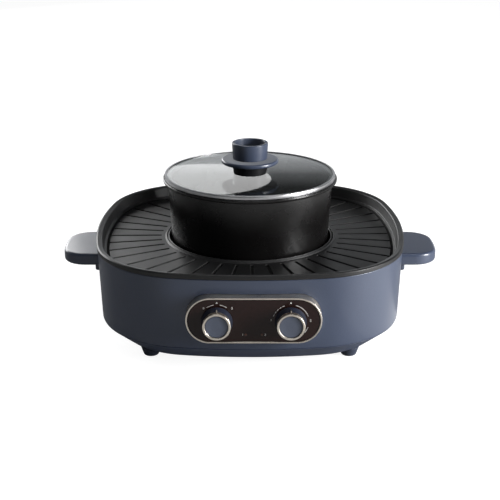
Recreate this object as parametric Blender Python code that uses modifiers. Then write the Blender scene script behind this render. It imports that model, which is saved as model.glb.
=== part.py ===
"""Hot pot grill combo: a countertop electric grill pan with a lift-out pot in its middle.

Metres, +Z up, front towards -Y. The origin lies on the table under the middle of the
overall box. Every piece is its own object; the lifting and turning pieces hang from an
empty that lies on their joint's axis.
"""

import math

import bmesh
import bpy

# Outline of the pan's rim, seen from above: a square with bowed sides and round corners
RIM_HALF_WIDTH = 0.172
RIM_HALF_DEPTH = 0.1685
SIDE_BOW_RADIUS = 0.42
FRONT_BOW_RADIUS = 0.52
CORNER_RADIUS = 0.105
SIDE_STEPS = 2
CORNER_STEPS = 8

# Clearances
GAP = 0.0003
OVERRUN = 0.002
RUNNING_GAP = 0.0005
WELD_DISTANCE = 0.000001

# Heights of the stacked housing, from the table up
FOOT_HEIGHT = 0.0107
BAND_HEIGHT = 0.0193
HOUSING_HEIGHT = 0.0769
RIM_HEIGHT = 0.0055
PLATE_DROP = 0.014
BASE_BOTTOM = FOOT_HEIGHT
CREASE_Z = BASE_BOTTOM + BAND_HEIGHT
HOUSING_BOTTOM = CREASE_Z + GAP
HOUSING_TOP = HOUSING_BOTTOM + HOUSING_HEIGHT
RIM_BOTTOM = HOUSING_TOP + GAP
RIM_TOP = RIM_BOTTOM + RIM_HEIGHT
PLATE_Z = RIM_TOP - PLATE_DROP

# Outer housing: a drafted shell with a floor flange and an inner ledge
HOUSING_REVEAL = 0.0008
HOUSING_DRAFT = 0.0028
HOUSING_WALL = 0.0026
HOUSING_EDGE = 0.0006
FLANGE_REACH = 0.04
LEDGE_REACH = 0.017
LEDGE_THICKNESS = 0.0025
LEDGE_BELOW_TOP = 0.0262
LEDGE_TOP = HOUSING_TOP - LEDGE_BELOW_TOP

# Base cover: a chamfered dish that closes the housing from below
BAND_REVEAL = 0.0036
BAND_SET_IN = 0.0234
BASE_WALL = 0.0025
BAND_WALL = 0.0026
FLOOR_TOP = BASE_BOTTOM + BASE_WALL
TRAY_POST_RADIUS = 0.006
TRAY_POST_HEIGHT = 0.0048
TRAY_POST_SET_IN = 0.012
VENT_LENGTH = 0.036
VENT_WIDTH = 0.004
VENT_PITCH = 0.011
VENT_COUNT = 5
VENT_PLACE = 0.12

# Rubber feet
FOOT_TOP_RADIUS = 0.0114
FOOT_BOTTOM_RADIUS = 0.0078
FOOT_ROUNDING = 0.0026
FOOT_STEM_RADIUS = 0.003
FOOT_STEM_HEIGHT = 0.0045
FOOT_FROM_SIDE = 0.0655
FOOT_FROM_FRONT = 0.0595

# Screws that hold the base cover and the handles
SCREW_SHANK_RADIUS = 0.0017
SCREW_HEAD_RADIUS = 0.0034
SCREW_HEAD_HEIGHT = 0.0024
SCREW_SLOT_WIDTH = 0.0009
SCREW_SLOT_DEPTH = 0.001
BASE_SCREW_Y = 0.055
BASE_POST_RADIUS = 0.0056
BASE_SCREW_WELL = 0.0053
BOSS_RADIUS = 0.005
BOSS_HEIGHT = 0.009

# Side handles
HANDLE_REACH = 0.039
HANDLE_HALF_LENGTH = 0.0405
HANDLE_CORNER_RADIUS = 0.026
HANDLE_BOW_RADIUS = 0.22
HANDLE_THICKNESS = 0.0135
HANDLE_BELOW_TOP = 0.0177
HANDLE_EDGE = 0.0035
HANDLE_TIP = RIM_HALF_WIDTH + HANDLE_REACH
HANDLE_TOP = HOUSING_TOP - HANDLE_BELOW_TOP
FIN_REACH = 0.0035
FIN_HALF_LENGTH = 0.031
FIN_DROP = 0.0095
HANDLE_SCREW_Y = 0.022
HANDLE_SCREW_ABOVE = 0.0095
HANDLE_SCREW_LENGTH = 0.016
SCREW_HEAD_SEAT = 0.0004

# Grill pan, as a profile that runs round the rim and a turned ring round the pot
LIP_WIDTH = 0.0042
PAN_WALL = 0.0028
PAN_WALL_SET_IN = 0.0088
MOAT_WIDTH = 0.0026
MOAT_DEPTH = 0.0025
STEP_WIDTH = 0.0022
STEP_HEIGHT = 0.0018
PLATE_THICKNESS = 0.0045
PAN_BOTTOM = PLATE_Z - PLATE_THICKNESS
POT_TO_RING = 0.003
RING_CREST = 0.002
RING_INNER_RIDGE = 0.0014
RING_VALLEY = 0.0028
RING_OUTER_RIDGE = 0.0042
RING_FOOT = 0.0068
COLLAR_DROP = 0.0045
COLLAR_WALL = 0.003
GROOVE_COUNT = 40
GROOVE_TURN_DEGREES = 1.2
GROOVE_WIDTH = 0.0018
GROOVE_DEPTH = 0.0014
GROOVE_START = 0.0102

# Pot
POT_TOP_RADIUS = 0.0923
POT_TAPER_SHARE = 0.056
POT_HEIGHT = 0.1286
POT_WALL = 0.0021
POT_FLOOR = 0.0026
POT_CORNER_RADIUS = 0.012
POT_RIM_REACH = 0.0056
POT_RIM_HEIGHT = 0.0042
POT_FILLET_STEPS = 3

# Heater stack under the pot
TRAY_SHEET = 0.0008
TRAY_WALL_HEIGHT = 0.027
HEATER_SET_IN = 0.02
HEATER_THICKNESS = 0.012
HEATER_LEG_RADIUS = 0.004
HEATER_LEG_HEIGHT = 0.0083
HEATER_LEG_SET_IN = 0.01
HEATER_LEG_COUNT = 3
TRAY_RADIUS = POT_TOP_RADIUS - GAP
TRAY_POST_PLACE = TRAY_RADIUS - TRAY_POST_SET_IN
HEATER_RADIUS = TRAY_RADIUS - HEATER_SET_IN
HEATER_LEG_PLACE = HEATER_RADIUS - HEATER_LEG_SET_IN
TRAY_BOTTOM = FLOOR_TOP + TRAY_POST_HEIGHT + GAP
TRAY_TOP = TRAY_BOTTOM + TRAY_SHEET
HEATER_BOTTOM = TRAY_TOP + GAP + HEATER_LEG_HEIGHT
HEATER_TOP = HEATER_BOTTOM + HEATER_THICKNESS
POT_BOTTOM = HEATER_TOP + GAP
POT_TOP = POT_BOTTOM + POT_HEIGHT

# Tubular elements
POT_ELEMENT_TUBE = 0.0035
POT_ELEMENT_SET_IN = 0.026
POT_ELEMENT_OUT = 0.008
POT_ELEMENT_RADIUS = HEATER_RADIUS - POT_ELEMENT_SET_IN
POT_ELEMENT_REACH = TRAY_RADIUS + POT_ELEMENT_OUT
ELEMENT_END_SPACING = 0.02
GRILL_ELEMENT_TUBE = 0.004
GRILL_ELEMENT_INSET = 0.042
GRILL_ELEMENT_DROP = 0.02
ELEMENT_STEPS = 20
ELEMENT_BEND_STEPS = 3

# Spring-loaded sensor in the middle of the heater
SENSOR_RADIUS = 0.0125
SENSOR_CAP = 0.0015
SENSOR_WALL = 0.0012
SENSOR_FLANGE = 0.003
SENSOR_FLANGE_THICKNESS = 0.0014
SENSOR_BASE_RADIUS = 0.0135
SENSOR_BASE_THICKNESS = 0.0016
SENSOR_PIN_RADIUS = 0.003
SENSOR_PIN_HEIGHT = 0.011
SPRING_RADIUS = 0.007
SPRING_WIRE = 0.0006
SPRING_TURNS = 4
SPRING_POINTS_PER_TURN = 8

# Thermal fuse under the heater plate
FUSE_RADIUS = 0.0025
FUSE_LENGTH = 0.018
FUSE_LEAD_RADIUS = 0.0006
FUSE_LEAD_LENGTH = 0.006
FUSE_PLACE = (SENSOR_RADIUS + SENSOR_FLANGE + POT_ELEMENT_RADIUS - POT_ELEMENT_TUBE) / 2

# Heat reflector under the grill pan
REFLECTOR_MARGIN = 0.0115
REFLECTOR_FLANGE = 0.0055
REFLECTOR_DEPTH = 0.005
REFLECTOR_SHEET = 0.0008
REFLECTOR_COLLAR_GAP = 0.0022
REFLECTOR_COLLAR_HEIGHT = 0.0145
SUPPORT_RADIUS = 0.005
SUPPORT_COUNT = 4
FIRST_SUPPORT_DEGREES = 45
REFLECTOR_TOP = LEDGE_TOP + GAP + REFLECTOR_SHEET
REFLECTOR_FLOOR = REFLECTOR_TOP - REFLECTOR_DEPTH
GRILL_ELEMENT_Z = PAN_BOTTOM - GAP - GRILL_ELEMENT_TUBE

# Lid
LID_SET_IN = 0.0022
LID_RIM_WIDTH = 0.0028
LID_SHEET = 0.0005
LID_GLASS_THICKNESS = 0.0026
LID_SKIRT_GAP = 0.0008
LID_SKIRT_DEPTH = 0.004
LID_HOLE_RADIUS = 0.004
KNOB_BASE_RADIUS = 0.0198
KNOB_BASE_FOOT_RADIUS = 0.0184
KNOB_BASE_HEIGHT = 0.0115
KNOB_FLANGE_RADIUS = 0.0318
KNOB_FLANGE_THICKNESS = 0.0045
KNOB_FLANGE_EDGE = 0.0018
KNOB_GRIP_RADIUS = 0.0202
KNOB_GRIP_FOOT_RADIUS = 0.0192
KNOB_GRIP_HEIGHT = 0.0182
KNOB_GRIP_WALL = 0.0032
KNOB_GRIP_FLOOR = 0.0034
KNOB_EDGE = 0.0008
KNOB_NOTCH_WIDTH = 0.009
KNOB_NOTCH_DEPTH = 0.0012
LID_WASHER_RADIUS = 0.007
LID_WASHER_THICKNESS = 0.001
LID_SCREW_HEAD_RADIUS = 0.0045
LID_SCREW_HEAD_HEIGHT = 0.0025
LID_SCREW_RADIUS = 0.002
GLASS_BOTTOM = POT_TOP + GAP + LID_SHEET + GAP
GLASS_TOP = GLASS_BOTTOM + LID_GLASS_THICKNESS
KNOB_BASE_BOTTOM = GLASS_TOP + GAP
KNOB_FLANGE_BOTTOM = KNOB_BASE_BOTTOM + KNOB_BASE_HEIGHT + GAP
KNOB_GRIP_BOTTOM = KNOB_FLANGE_BOTTOM + KNOB_FLANGE_THICKNESS + GAP

# Control panel on the front; its own frame has +Z pointing out of the panel
PANEL_X = 0.0038
PANEL_Z = 0.0675
PANEL_WIDTH = 0.1375
PANEL_HEIGHT = 0.049
PANEL_PROUD = 0.0112
PANEL_BEHIND = 0.0083
TRIM_WALL = 0.0016
TRIM_BACK_SPARE = 0.0005
PANEL_PLATE_RECESS = 0.0006
PANEL_PLATE_THICKNESS = 0.0024
PANEL_BASE_WALL = 0.0032
PANEL_BASE_FLOOR = 0.0025
PANEL_BASE_SPARE = 0.0015
STADIUM_STEPS = 10
LAMP_RADIUS = 0.0014
LAMP_SPACING = 0.0163
LAMP_DROP = 0.0152
LAMP_PROUD = 0.0007
LAMP_FLANGE = 0.0008
LAMP_TAIL = 0.003

# Dials
DIAL_SPACING = 0.0742
DIAL_DROP = 0.001
DIAL_DEPTH = 0.0134
DIAL_BACK_RADIUS = 0.0162
DIAL_FRONT_RADIUS = 0.0139
DIAL_RING_RADIUS = 0.0142
DIAL_RING_WIDTH = 0.0024
DIAL_RING_DEPTH = 0.005
DIAL_RING_PROUD = 0.0006
DIAL_CAP_RECESS = 0.0005
DIAL_CAP_THICKNESS = 0.0025
DIAL_WALL = 0.0025
DIAL_HUB_RADIUS = 0.006
DIAL_BORE_DEPTH = 0.0085
POINTER_WIDTH = 0.0012
POINTER_LENGTH = 0.0034
POINTER_PROUD = 0.0005
POINTER_DEPTH = 0.0012

# Thermostats behind the panel
SHAFT_RADIUS = 0.003
SHAFT_IN = 0.012
NECK_RADIUS = 0.0045
NUT_THICKNESS = 0.0025
NUT_RADIUS = 0.0078
NECK_SPARE = 0.0005
THERMOSTAT_WIDTH = 0.03
THERMOSTAT_HEIGHT = 0.0162
THERMOSTAT_DEPTH = 0.019
THERMOSTAT_EDGE = 0.0012
TERMINAL_WIDTH = 0.0048
TERMINAL_THICKNESS = 0.0008
TERMINAL_LENGTH = 0.007
TERMINAL_SPACING = 0.014

# Power inlet in the back wall; its own frame has +Z pointing out of the socket
INLET_X = 0.0
INLET_Z = 0.052
INLET_WIDTH = 0.03
INLET_HEIGHT = 0.022
INLET_DEPTH = 0.0185
INLET_FLANGE_REACH = 0.004
INLET_FLANGE_THICKNESS = 0.003
INLET_WALL = 0.003
INLET_FLOOR = 0.0025
INLET_EDGE = 0.0008
INLET_STAND_OFF = 0.0008
PIN_RADIUS = 0.0019
PIN_OUT = 0.0085
PIN_TAIL = 0.006
PIN_SPREAD = 0.007
PIN_RAISE = 0.003

# Wires inside the housing, which run round the pot's well, between the tray and the floor flange
WIRE_RADIUS = 0.0013
WIRE_SMOOTHING = 3
WIRE_LEAD = 0.008
WIRE_RING_SHARE = 0.822
WIRE_ROOM = RIM_HALF_DEPTH - FLANGE_REACH - TRAY_RADIUS
WIRE_RING_RADIUS = TRAY_RADIUS + WIRE_RING_SHARE * WIRE_ROOM
WIRE_RING_STEPS = 6
WIRE_DROP_SHARE = 0.5
LIVE_WIRE_DEGREES = (75, -62)
SWITCHED_WIRE_DEGREES = (242, 112)

# Steps round a full turn
FINE_TURN = 40
MEDIUM_TURN = 24
SMALL_TURN = 16
TINY_TURN = 10
HANDLE_CORNER_STEPS = 7
ROUNDING_STEPS = 2
NUT_SIDES = 6

# Angles past which a surface is shaded with a crease, or its edge rounded
CREASE_DEGREES = 35
ROUNDED_DEGREES = 50

# Colour, roughness and metallic value of each finish
FINISHES = {
    "slate_paint": ((0.076, 0.089, 0.117), 0.32, 0.0),
    "dark_slate_plastic": ((0.02, 0.025, 0.037), 0.45, 0.0),
    "soft_rubber": ((0.02, 0.02, 0.022), 0.8, 0.0),
    "grill_coating": ((0.018, 0.018, 0.019), 0.42, 0.0),
    "pot_coating": ((0.012, 0.012, 0.012), 0.5, 0.0),
    "champagne_metal": ((0.62, 0.53, 0.43), 0.28, 1.0),
    "brown_gloss": ((0.032, 0.021, 0.02), 0.12, 0.0),
    "navy_plastic": ((0.012, 0.016, 0.026), 0.4, 0.0),
    "cap_grey": ((0.078, 0.09, 0.122), 0.35, 0.0),
    "bright_steel": ((0.7, 0.7, 0.7), 0.18, 1.0),
    "clear_glass": ((0.75, 0.8, 0.8), 0.03, 0.0),
    "black_plastic": ((0.014, 0.014, 0.015), 0.4, 0.0),
    "dull_aluminium": ((0.55, 0.55, 0.56), 0.4, 1.0),
    "element_steel": ((0.25, 0.24, 0.23), 0.45, 1.0),
    "zinc_steel": ((0.52, 0.52, 0.5), 0.38, 1.0),
    "pin_brass": ((0.7, 0.55, 0.27), 0.3, 1.0),
    "lamp_lens": ((0.45, 0.3, 0.16), 0.2, 0.0),
    "tan_phenolic": ((0.16, 0.1, 0.05), 0.55, 0.0),
    "white_sleeve": ((0.6, 0.6, 0.57), 0.6, 0.0),
    "red_sleeve": ((0.35, 0.04, 0.03), 0.55, 0.0),
}

CORNERS = {
    "front_left": (-1, -1),
    "front_right": (1, -1),
    "back_left": (-1, 1),
    "back_right": (1, 1),
}
SIDES = {"left": -1, "right": 1}


def clear_scene():
    for obj in list(bpy.data.objects):
        bpy.data.objects.remove(obj, do_unlink=True)


def finish(name):
    """The material of that name, made on its first use."""
    if name in bpy.data.materials:
        return bpy.data.materials[name]
    colour, roughness, metallic = FINISHES[name]
    made = bpy.data.materials.new(name)
    made.use_nodes = True
    shader = made.node_tree.nodes["Principled BSDF"]
    shader.inputs["Base Color"].default_value = (*colour, 1)
    shader.inputs["Roughness"].default_value = roughness
    shader.inputs["Metallic"].default_value = metallic
    return made


def collection(name):
    if name not in bpy.data.collections:
        bpy.context.scene.collection.children.link(bpy.data.collections.new(name))
    return bpy.data.collections[name]


def empty(name, parent=None, place=(0, 0, 0), turn=(0, 0, 0)):
    made = bpy.data.objects.new(name, None)
    collection("hot_pot_grill_combo").objects.link(made)
    made.parent = parent
    made.location = place
    made.rotation_euler = turn
    return made


def put(name, data, parent, place=(0, 0, 0), turn=(0, 0, 0), look=None):
    """Adds a piece with its finish, or a cutter where no finish is given."""
    made = bpy.data.objects.new(name, data)
    made.parent = parent
    made.location = place
    made.rotation_euler = turn
    collection("hot_pot_grill_combo" if look else "cutters").objects.link(made)
    if look:
        data.materials.append(finish(look))
    else:
        made.hide_render = True
        made.display_type = "WIRE"
    return made


def mesh_from(name, grid, smooth=True):
    """Closes a bmesh into a named mesh with its faces pointing out."""
    bmesh.ops.recalc_face_normals(grid, faces=grid.faces)
    mesh = bpy.data.meshes.new(name)
    grid.to_mesh(mesh)
    grid.free()
    if smooth:
        mesh.shade_smooth()
        mesh.set_sharp_from_angle(angle=math.radians(CREASE_DEGREES))
    return mesh


def boolean(obj, other, operation):
    step = obj.modifiers.new(f"{operation.lower()}_{other.name}", "BOOLEAN")
    step.operation = operation
    step.object = other


def cut(obj, *cutters):
    for cutter in cutters:
        boolean(obj, cutter, "DIFFERENCE")


def join(obj, *others):
    for other in others:
        boolean(obj, other, "UNION")


def bevel(obj, width, segments=2):
    step = obj.modifiers.new("rounded_edges", "BEVEL")
    step.width = width
    step.segments = segments
    step.limit_method = "ANGLE"
    step.angle_limit = math.radians(ROUNDED_DEGREES)


def outline_rays():
    """Centre, radius and angle of each point of the rim's outline, anticlockwise."""
    side_centre = RIM_HALF_WIDTH - SIDE_BOW_RADIUS
    front_centre = RIM_HALF_DEPTH - FRONT_BOW_RADIUS
    to_side = SIDE_BOW_RADIUS - CORNER_RADIUS
    to_front = FRONT_BOW_RADIUS - CORNER_RADIUS
    span = math.hypot(side_centre, front_centre)
    along = (to_side**2 - to_front**2 + span**2) / (2 * span)
    across = math.sqrt(to_side**2 - along**2)
    unit_x, unit_y = -side_centre / span, front_centre / span
    corner_x = side_centre + along * unit_x - across * unit_y
    corner_y = along * unit_y + across * unit_x
    side_end = math.atan2(corner_y, corner_x - side_centre)
    front_start = math.atan2(corner_y - front_centre, corner_x)
    quarter = []
    for i in range(SIDE_STEPS):
        quarter.append((side_centre, 0, SIDE_BOW_RADIUS, side_end * i / SIDE_STEPS))
    for i in range(CORNER_STEPS):
        turn = side_end + (front_start - side_end) * i / CORNER_STEPS
        quarter.append((corner_x, corner_y, CORNER_RADIUS, turn))
    for i in range(SIDE_STEPS):
        turn = front_start + (math.pi / 2 - front_start) * i / SIDE_STEPS
        quarter.append((0, front_centre, FRONT_BOW_RADIUS, turn))
    top = (0, front_centre, FRONT_BOW_RADIUS, math.pi / 2)
    left = [(-x, y, r, math.pi - t) for x, y, r, t in reversed(quarter)]
    upper = quarter + [top] + left
    lower = [(x, -y, r, -t) for x, y, r, t in reversed(upper[1:-1])]
    return upper + lower


def outline(inset):
    """Points of the rim's outline, moved inwards by the inset."""
    return [
        (x + (r - inset) * math.cos(t), y + (r - inset) * math.sin(t))
        for x, y, r, t in outline_rays()
    ]


def outline_reach(angle, inset):
    """Distance from the centre to the inset outline in this direction."""
    points = outline(inset)
    direction_x, direction_y = math.cos(angle), math.sin(angle)
    best = 0
    for (ax, ay), (bx, by) in zip(points, points[1:] + points[:1]):
        edge_x, edge_y = bx - ax, by - ay
        det = direction_y * edge_x - direction_x * edge_y
        if det == 0:
            continue
        reach = (ay * edge_x - ax * edge_y) / det
        along = (direction_x * ay - direction_y * ax) / det
        if 0 <= along <= 1:
            best = max(best, reach)
    return best


def outline_half_width(y, inset):
    """Half the width of the inset outline, at this distance from its middle line."""
    points = outline(inset)
    for (ax, ay), (bx, by) in zip(points, points[1:]):
        if ay <= y <= by:
            return between(ax, bx, (y - ay) / (by - ay))


def swept(name, profile, ring=False):
    """A mesh from a profile of (inset, height) points carried round the rim's outline."""
    grid = bmesh.new()
    loops = [
        [grid.verts.new((x, y, height)) for x, y in outline(inset)]
        for inset, height in profile
    ]
    steps = list(zip(loops, loops[1:]))
    if ring:
        steps.append((loops[-1], loops[0]))
    for first, second in steps:
        for i in range(len(first)):
            j = (i + 1) % len(first)
            grid.faces.new((first[i], first[j], second[j], second[i]))
    if not ring:
        grid.faces.new(loops[0])
        grid.faces.new(loops[-1])
    return mesh_from(name, grid)


def turned(name, profile, steps, parent, place=(0, 0, 0), turn=(0, 0, 0), look=None, ring=False):
    """A profile of (radius, height) points, outer side downwards, turned about Z."""
    grid = bmesh.new()
    points = [grid.verts.new((radius, 0, height)) for radius, height in profile]
    for first, second in zip(points, points[1:]):
        grid.edges.new((first, second))
    if ring:
        grid.edges.new((points[-1], points[0]))
    mesh = bpy.data.meshes.new(name)
    grid.to_mesh(mesh)
    grid.free()
    made = put(name, mesh, parent, place, turn, look)
    screw = made.modifiers.new("turned", "SCREW")
    screw.axis = "Z"
    screw.steps = steps
    screw.render_steps = steps
    screw.use_merge_vertices = True
    screw.merge_threshold = WELD_DISTANCE
    screw.use_smooth_shade = True
    return made


def arc(centre, radius, start, end, steps):
    """Points of an arc, with its angles in degrees."""
    x, y = centre
    turns = [math.radians(start + (end - start) * i / steps) for i in range(steps + 1)]
    return [(x + radius * math.cos(t), y + radius * math.sin(t)) for t in turns]


def drum(name, radius, bottom, top, steps, parent, place=(0, 0, 0), turn=(0, 0, 0), look=None):
    """A cylinder along local Z from one height to another."""
    grid = bmesh.new()
    bmesh.ops.create_cone(
        grid, cap_ends=True, segments=steps, radius1=radius, radius2=radius, depth=top - bottom
    )
    bmesh.ops.translate(grid, verts=grid.verts, vec=(0, 0, (top + bottom) / 2))
    return put(name, mesh_from(name, grid), parent, place, turn, look)


def block(name, size, centre, parent, place=(0, 0, 0), turn=(0, 0, 0), look=None):
    """A box of this size round a centre in its parent's frame."""
    grid = bmesh.new()
    bmesh.ops.create_cube(grid, size=1)
    bmesh.ops.scale(grid, verts=grid.verts, vec=size)
    bmesh.ops.translate(grid, verts=grid.verts, vec=centre)
    return put(name, mesh_from(name, grid, smooth=False), parent, place, turn, look)


def evaluated_mesh(obj, name):
    """The object's evaluated mesh with its caps welded, and the object itself removed."""
    bpy.context.view_layer.update()
    graph = bpy.context.evaluated_depsgraph_get()
    mesh = bpy.data.meshes.new_from_object(obj.evaluated_get(graph))
    mesh.name = name
    bpy.data.objects.remove(obj, do_unlink=True)
    grid = bmesh.new()
    grid.from_mesh(mesh)
    bmesh.ops.remove_doubles(grid, verts=grid.verts, dist=WELD_DISTANCE)
    bpy.data.meshes.remove(mesh)
    return mesh_from(name, grid)


def flat(name, loops, bottom, top, parent, place=(0, 0, 0), turn=(0, 0, 0), look=None):
    """A plate between two heights whose edges are flat outlines; later loops are holes."""
    curve = bpy.data.curves.new(name, "CURVE")
    curve.dimensions = "2D"
    curve.fill_mode = "BOTH"
    curve.extrude = (top - bottom) / 2
    for loop in loops:
        spline = curve.splines.new("POLY")
        spline.points.add(len(loop) - 1)
        for point, (x, y) in zip(spline.points, loop):
            point.co = (x, y, 0, 1)
        spline.use_cyclic_u = True
    outline_object = put(f"{name}_outline", curve, None)
    mesh = evaluated_mesh(outline_object, name)
    for vertex in mesh.vertices:
        vertex.co.z += (top + bottom) / 2
    return put(name, mesh, parent, place, turn, look)


def tube(name, points, radius, parent, look):
    """A round tube with filled caps along a list of points."""
    curve = bpy.data.curves.new(name, "CURVE")
    curve.dimensions = "3D"
    curve.bevel_depth = radius
    curve.bevel_resolution = 1
    curve.use_fill_caps = True
    spline = curve.splines.new("POLY")
    spline.points.add(len(points) - 1)
    for point, place in zip(spline.points, points):
        point.co = (*place, 1)
    return put(name, curve, parent, look=look)


def stadium(width, height, inset=0):
    """Outline with straight long sides and half-round ends, moved inwards by the inset."""
    radius = height / 2 - inset
    shift = (width - height) / 2
    right = arc((shift, 0), radius, -90, 90, STADIUM_STEPS)
    left = arc((-shift, 0), radius, 90, 270, STADIUM_STEPS)
    return right + left


def circle(radius, steps, centre=(0, 0)):
    return arc(centre, radius, 0, 360 - 360 / steps, steps - 1)


def housing_inset(height):
    """How far the housing's outer face lies inside the rim's outline at this height."""
    down = (HOUSING_TOP - height) / HOUSING_HEIGHT
    return HOUSING_REVEAL + HOUSING_DRAFT * down


def pot_radius(height):
    """Outer radius of the pot's tapered wall at this height."""
    return POT_TOP_RADIUS - POT_TAPER_SHARE * (POT_TOP - POT_RIM_HEIGHT - height)


PAN_HOLE_RADIUS = pot_radius(PLATE_Z + RING_CREST) + POT_TO_RING
PANEL_FRONT = RIM_HALF_DEPTH - housing_inset(PANEL_Z) + PANEL_PROUD
PANEL_BACK = PANEL_PROUD + PANEL_BEHIND
PANEL_BASE_BACK = PANEL_BACK - PANEL_BASE_SPARE
DIAL_Z = PANEL_Z - DIAL_DROP
INLET_FACE = RIM_HALF_DEPTH - housing_inset(INLET_Z) + INLET_STAND_OFF + INLET_FLANGE_THICKNESS
FRONT_REACH = PANEL_FRONT + DIAL_DEPTH + DIAL_RING_PROUD
BACK_REACH = max(RIM_HALF_DEPTH, INLET_FACE)
CENTRE_Y = (FRONT_REACH - BACK_REACH) / 2
BASE_SCREW_X = RIM_HALF_WIDTH - FLANGE_REACH
FOOT_X = RIM_HALF_WIDTH - FOOT_FROM_SIDE
FOOT_Y = RIM_HALF_DEPTH - FOOT_FROM_FRONT
HANDLE_SCREW_Z = HANDLE_TOP - HANDLE_THICKNESS + HANDLE_SCREW_ABOVE


def support_angle(index):
    """Direction of one of the posts or rests that stand in a ring."""
    return math.radians(FIRST_SUPPORT_DEGREES + 360 * index / SUPPORT_COUNT)


def base_screw_places():
    return {
        name: (side * BASE_SCREW_X, end * BASE_SCREW_Y) for name, (side, end) in CORNERS.items()
    }


def outer_housing(root):
    """The slate shell, with its floor flange, inner ledge, screw bosses and openings."""
    wall = HOUSING_WALL
    low, high = housing_inset(HOUSING_BOTTOM), housing_inset(HOUSING_TOP)
    flange_top = HOUSING_BOTTOM + wall
    ledge_bottom = LEDGE_TOP - LEDGE_THICKNESS
    profile = [
        (high + HOUSING_EDGE, HOUSING_TOP),
        (high, HOUSING_TOP - HOUSING_EDGE),
        (low, HOUSING_BOTTOM),
        (FLANGE_REACH, HOUSING_BOTTOM),
        (FLANGE_REACH, flange_top),
        (housing_inset(flange_top) + wall, flange_top),
        (housing_inset(ledge_bottom) + wall, ledge_bottom),
        (LEDGE_REACH, ledge_bottom),
        (LEDGE_REACH, LEDGE_TOP),
        (housing_inset(LEDGE_TOP) + wall, LEDGE_TOP),
        (high + wall, HOUSING_TOP),
    ]
    shell = put("outer_housing", swept("outer_housing", profile, ring=True), root, look="slate_paint")
    boss_top = flange_top + BOSS_HEIGHT
    hole = SCREW_SHANK_RADIUS + GAP
    for name, (x, y) in base_screw_places().items():
        boss_bottom = flange_top - OVERRUN / 2
        join(shell, drum(f"boss_{name}", BOSS_RADIUS, boss_bottom, boss_top, TINY_TURN, root, (x, y, 0)))
        hole_bottom = HOUSING_BOTTOM - OVERRUN
        hole_top = boss_top - OVERRUN / 2
        cut(shell, drum(f"boss_hole_{name}", hole, hole_bottom, hole_top, TINY_TURN, root, (x, y, 0)))
    for name, (side, end) in CORNERS.items():
        place = (side * (RIM_HALF_WIDTH - LEDGE_REACH), end * HANDLE_SCREW_Y, HANDLE_SCREW_Z)
        turn = (0, side * math.pi / 2, 0)
        cutter = drum(f"handle_hole_{name}", hole, 0, LEDGE_REACH + OVERRUN, TINY_TURN, root, place, turn)
        cut(shell, cutter)
    cut(shell, panel_window(root), inlet_window(root))
    return shell


def panel_window(root):
    """Cutter for the stadium opening that the control panel passes through."""
    loop = stadium(PANEL_WIDTH, PANEL_HEIGHT, -GAP)
    return flat("panel_window", [loop], -PANEL_BACK, OVERRUN, panel_frame(root, "panel_window_frame"))


def inlet_window(root):
    """Cutter for the opening that the power inlet passes through."""
    size = (INLET_WIDTH + 2 * GAP, INLET_HEIGHT + 2 * GAP, INLET_DEPTH + OVERRUN)
    centre = (0, 0, -INLET_DEPTH / 2)
    return block("inlet_window", size, centre, inlet_frame(root, "inlet_window_frame"))


def panel_frame(root, name):
    """An empty in the middle of the panel's front plane, with +Z pointing out."""
    return empty(name, root, (PANEL_X, -PANEL_FRONT, PANEL_Z), (math.pi / 2, 0, 0))


def inlet_frame(root, name):
    """An empty in the middle of the inlet's mouth, with +Z pointing out of the back."""
    return empty(name, root, (INLET_X, INLET_FACE, INLET_Z), (math.pi / 2, 0, math.pi))


def base_cover(root):
    """The dark chamfered dish, with posts for the heater tray and wells for its screws."""
    bottom_inset = BAND_REVEAL + BAND_SET_IN
    profile = [
        (bottom_inset, BASE_BOTTOM),
        (BAND_REVEAL, CREASE_Z),
        (BAND_REVEAL + BAND_WALL, CREASE_Z),
        (bottom_inset + BAND_WALL / 2, FLOOR_TOP),
    ]
    cover = put("base_cover", swept("base_cover", profile), root, look="dark_slate_plastic")
    for i in range(SUPPORT_COUNT):
        turn = support_angle(i)
        place = (TRAY_POST_PLACE * math.cos(turn), TRAY_POST_PLACE * math.sin(turn), 0)
        low, high = FLOOR_TOP - OVERRUN / 2, FLOOR_TOP + TRAY_POST_HEIGHT
        join(cover, drum(f"tray_post_{i}", TRAY_POST_RADIUS, low, high, TINY_TURN, root, place))
    for name, (x, y) in base_screw_places().items():
        low, high = FLOOR_TOP - OVERRUN / 2, CREASE_Z
        join(cover, drum(f"base_post_{name}", BASE_POST_RADIUS, low, high, TINY_TURN, root, (x, y, 0)))
        well = SCREW_HEAD_RADIUS + GAP
        shank = SCREW_SHANK_RADIUS + GAP
        low = BASE_BOTTOM - OVERRUN
        well_top = BASE_BOTTOM + BASE_SCREW_WELL
        cut(cover, drum(f"base_well_{name}", well, low, well_top, TINY_TURN, root, (x, y, 0)))
        high = CREASE_Z + OVERRUN
        cut(cover, drum(f"base_hole_{name}", shank, low, high, TINY_TURN, root, (x, y, 0)))
    for name, (side, end) in CORNERS.items():
        place = (side * FOOT_X, end * FOOT_Y, 0)
        radius = FOOT_STEM_RADIUS + GAP
        low, high = BASE_BOTTOM - OVERRUN, FLOOR_TOP + OVERRUN
        cut(cover, drum(f"foot_hole_{name}", radius, low, high, TINY_TURN, root, place))
    size = (VENT_WIDTH, VENT_LENGTH, BASE_WALL + 2 * OVERRUN)
    for name, end in {"front": -1, "back": 1}.items():
        for i in range(VENT_COUNT):
            x = (i - (VENT_COUNT - 1) / 2) * VENT_PITCH
            centre = (x, end * (VENT_PLACE - VENT_LENGTH / 2), BASE_BOTTOM + BASE_WALL / 2)
            cut(cover, block(f"vent_{name}_{i}", size, centre, root))
    return cover


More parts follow.
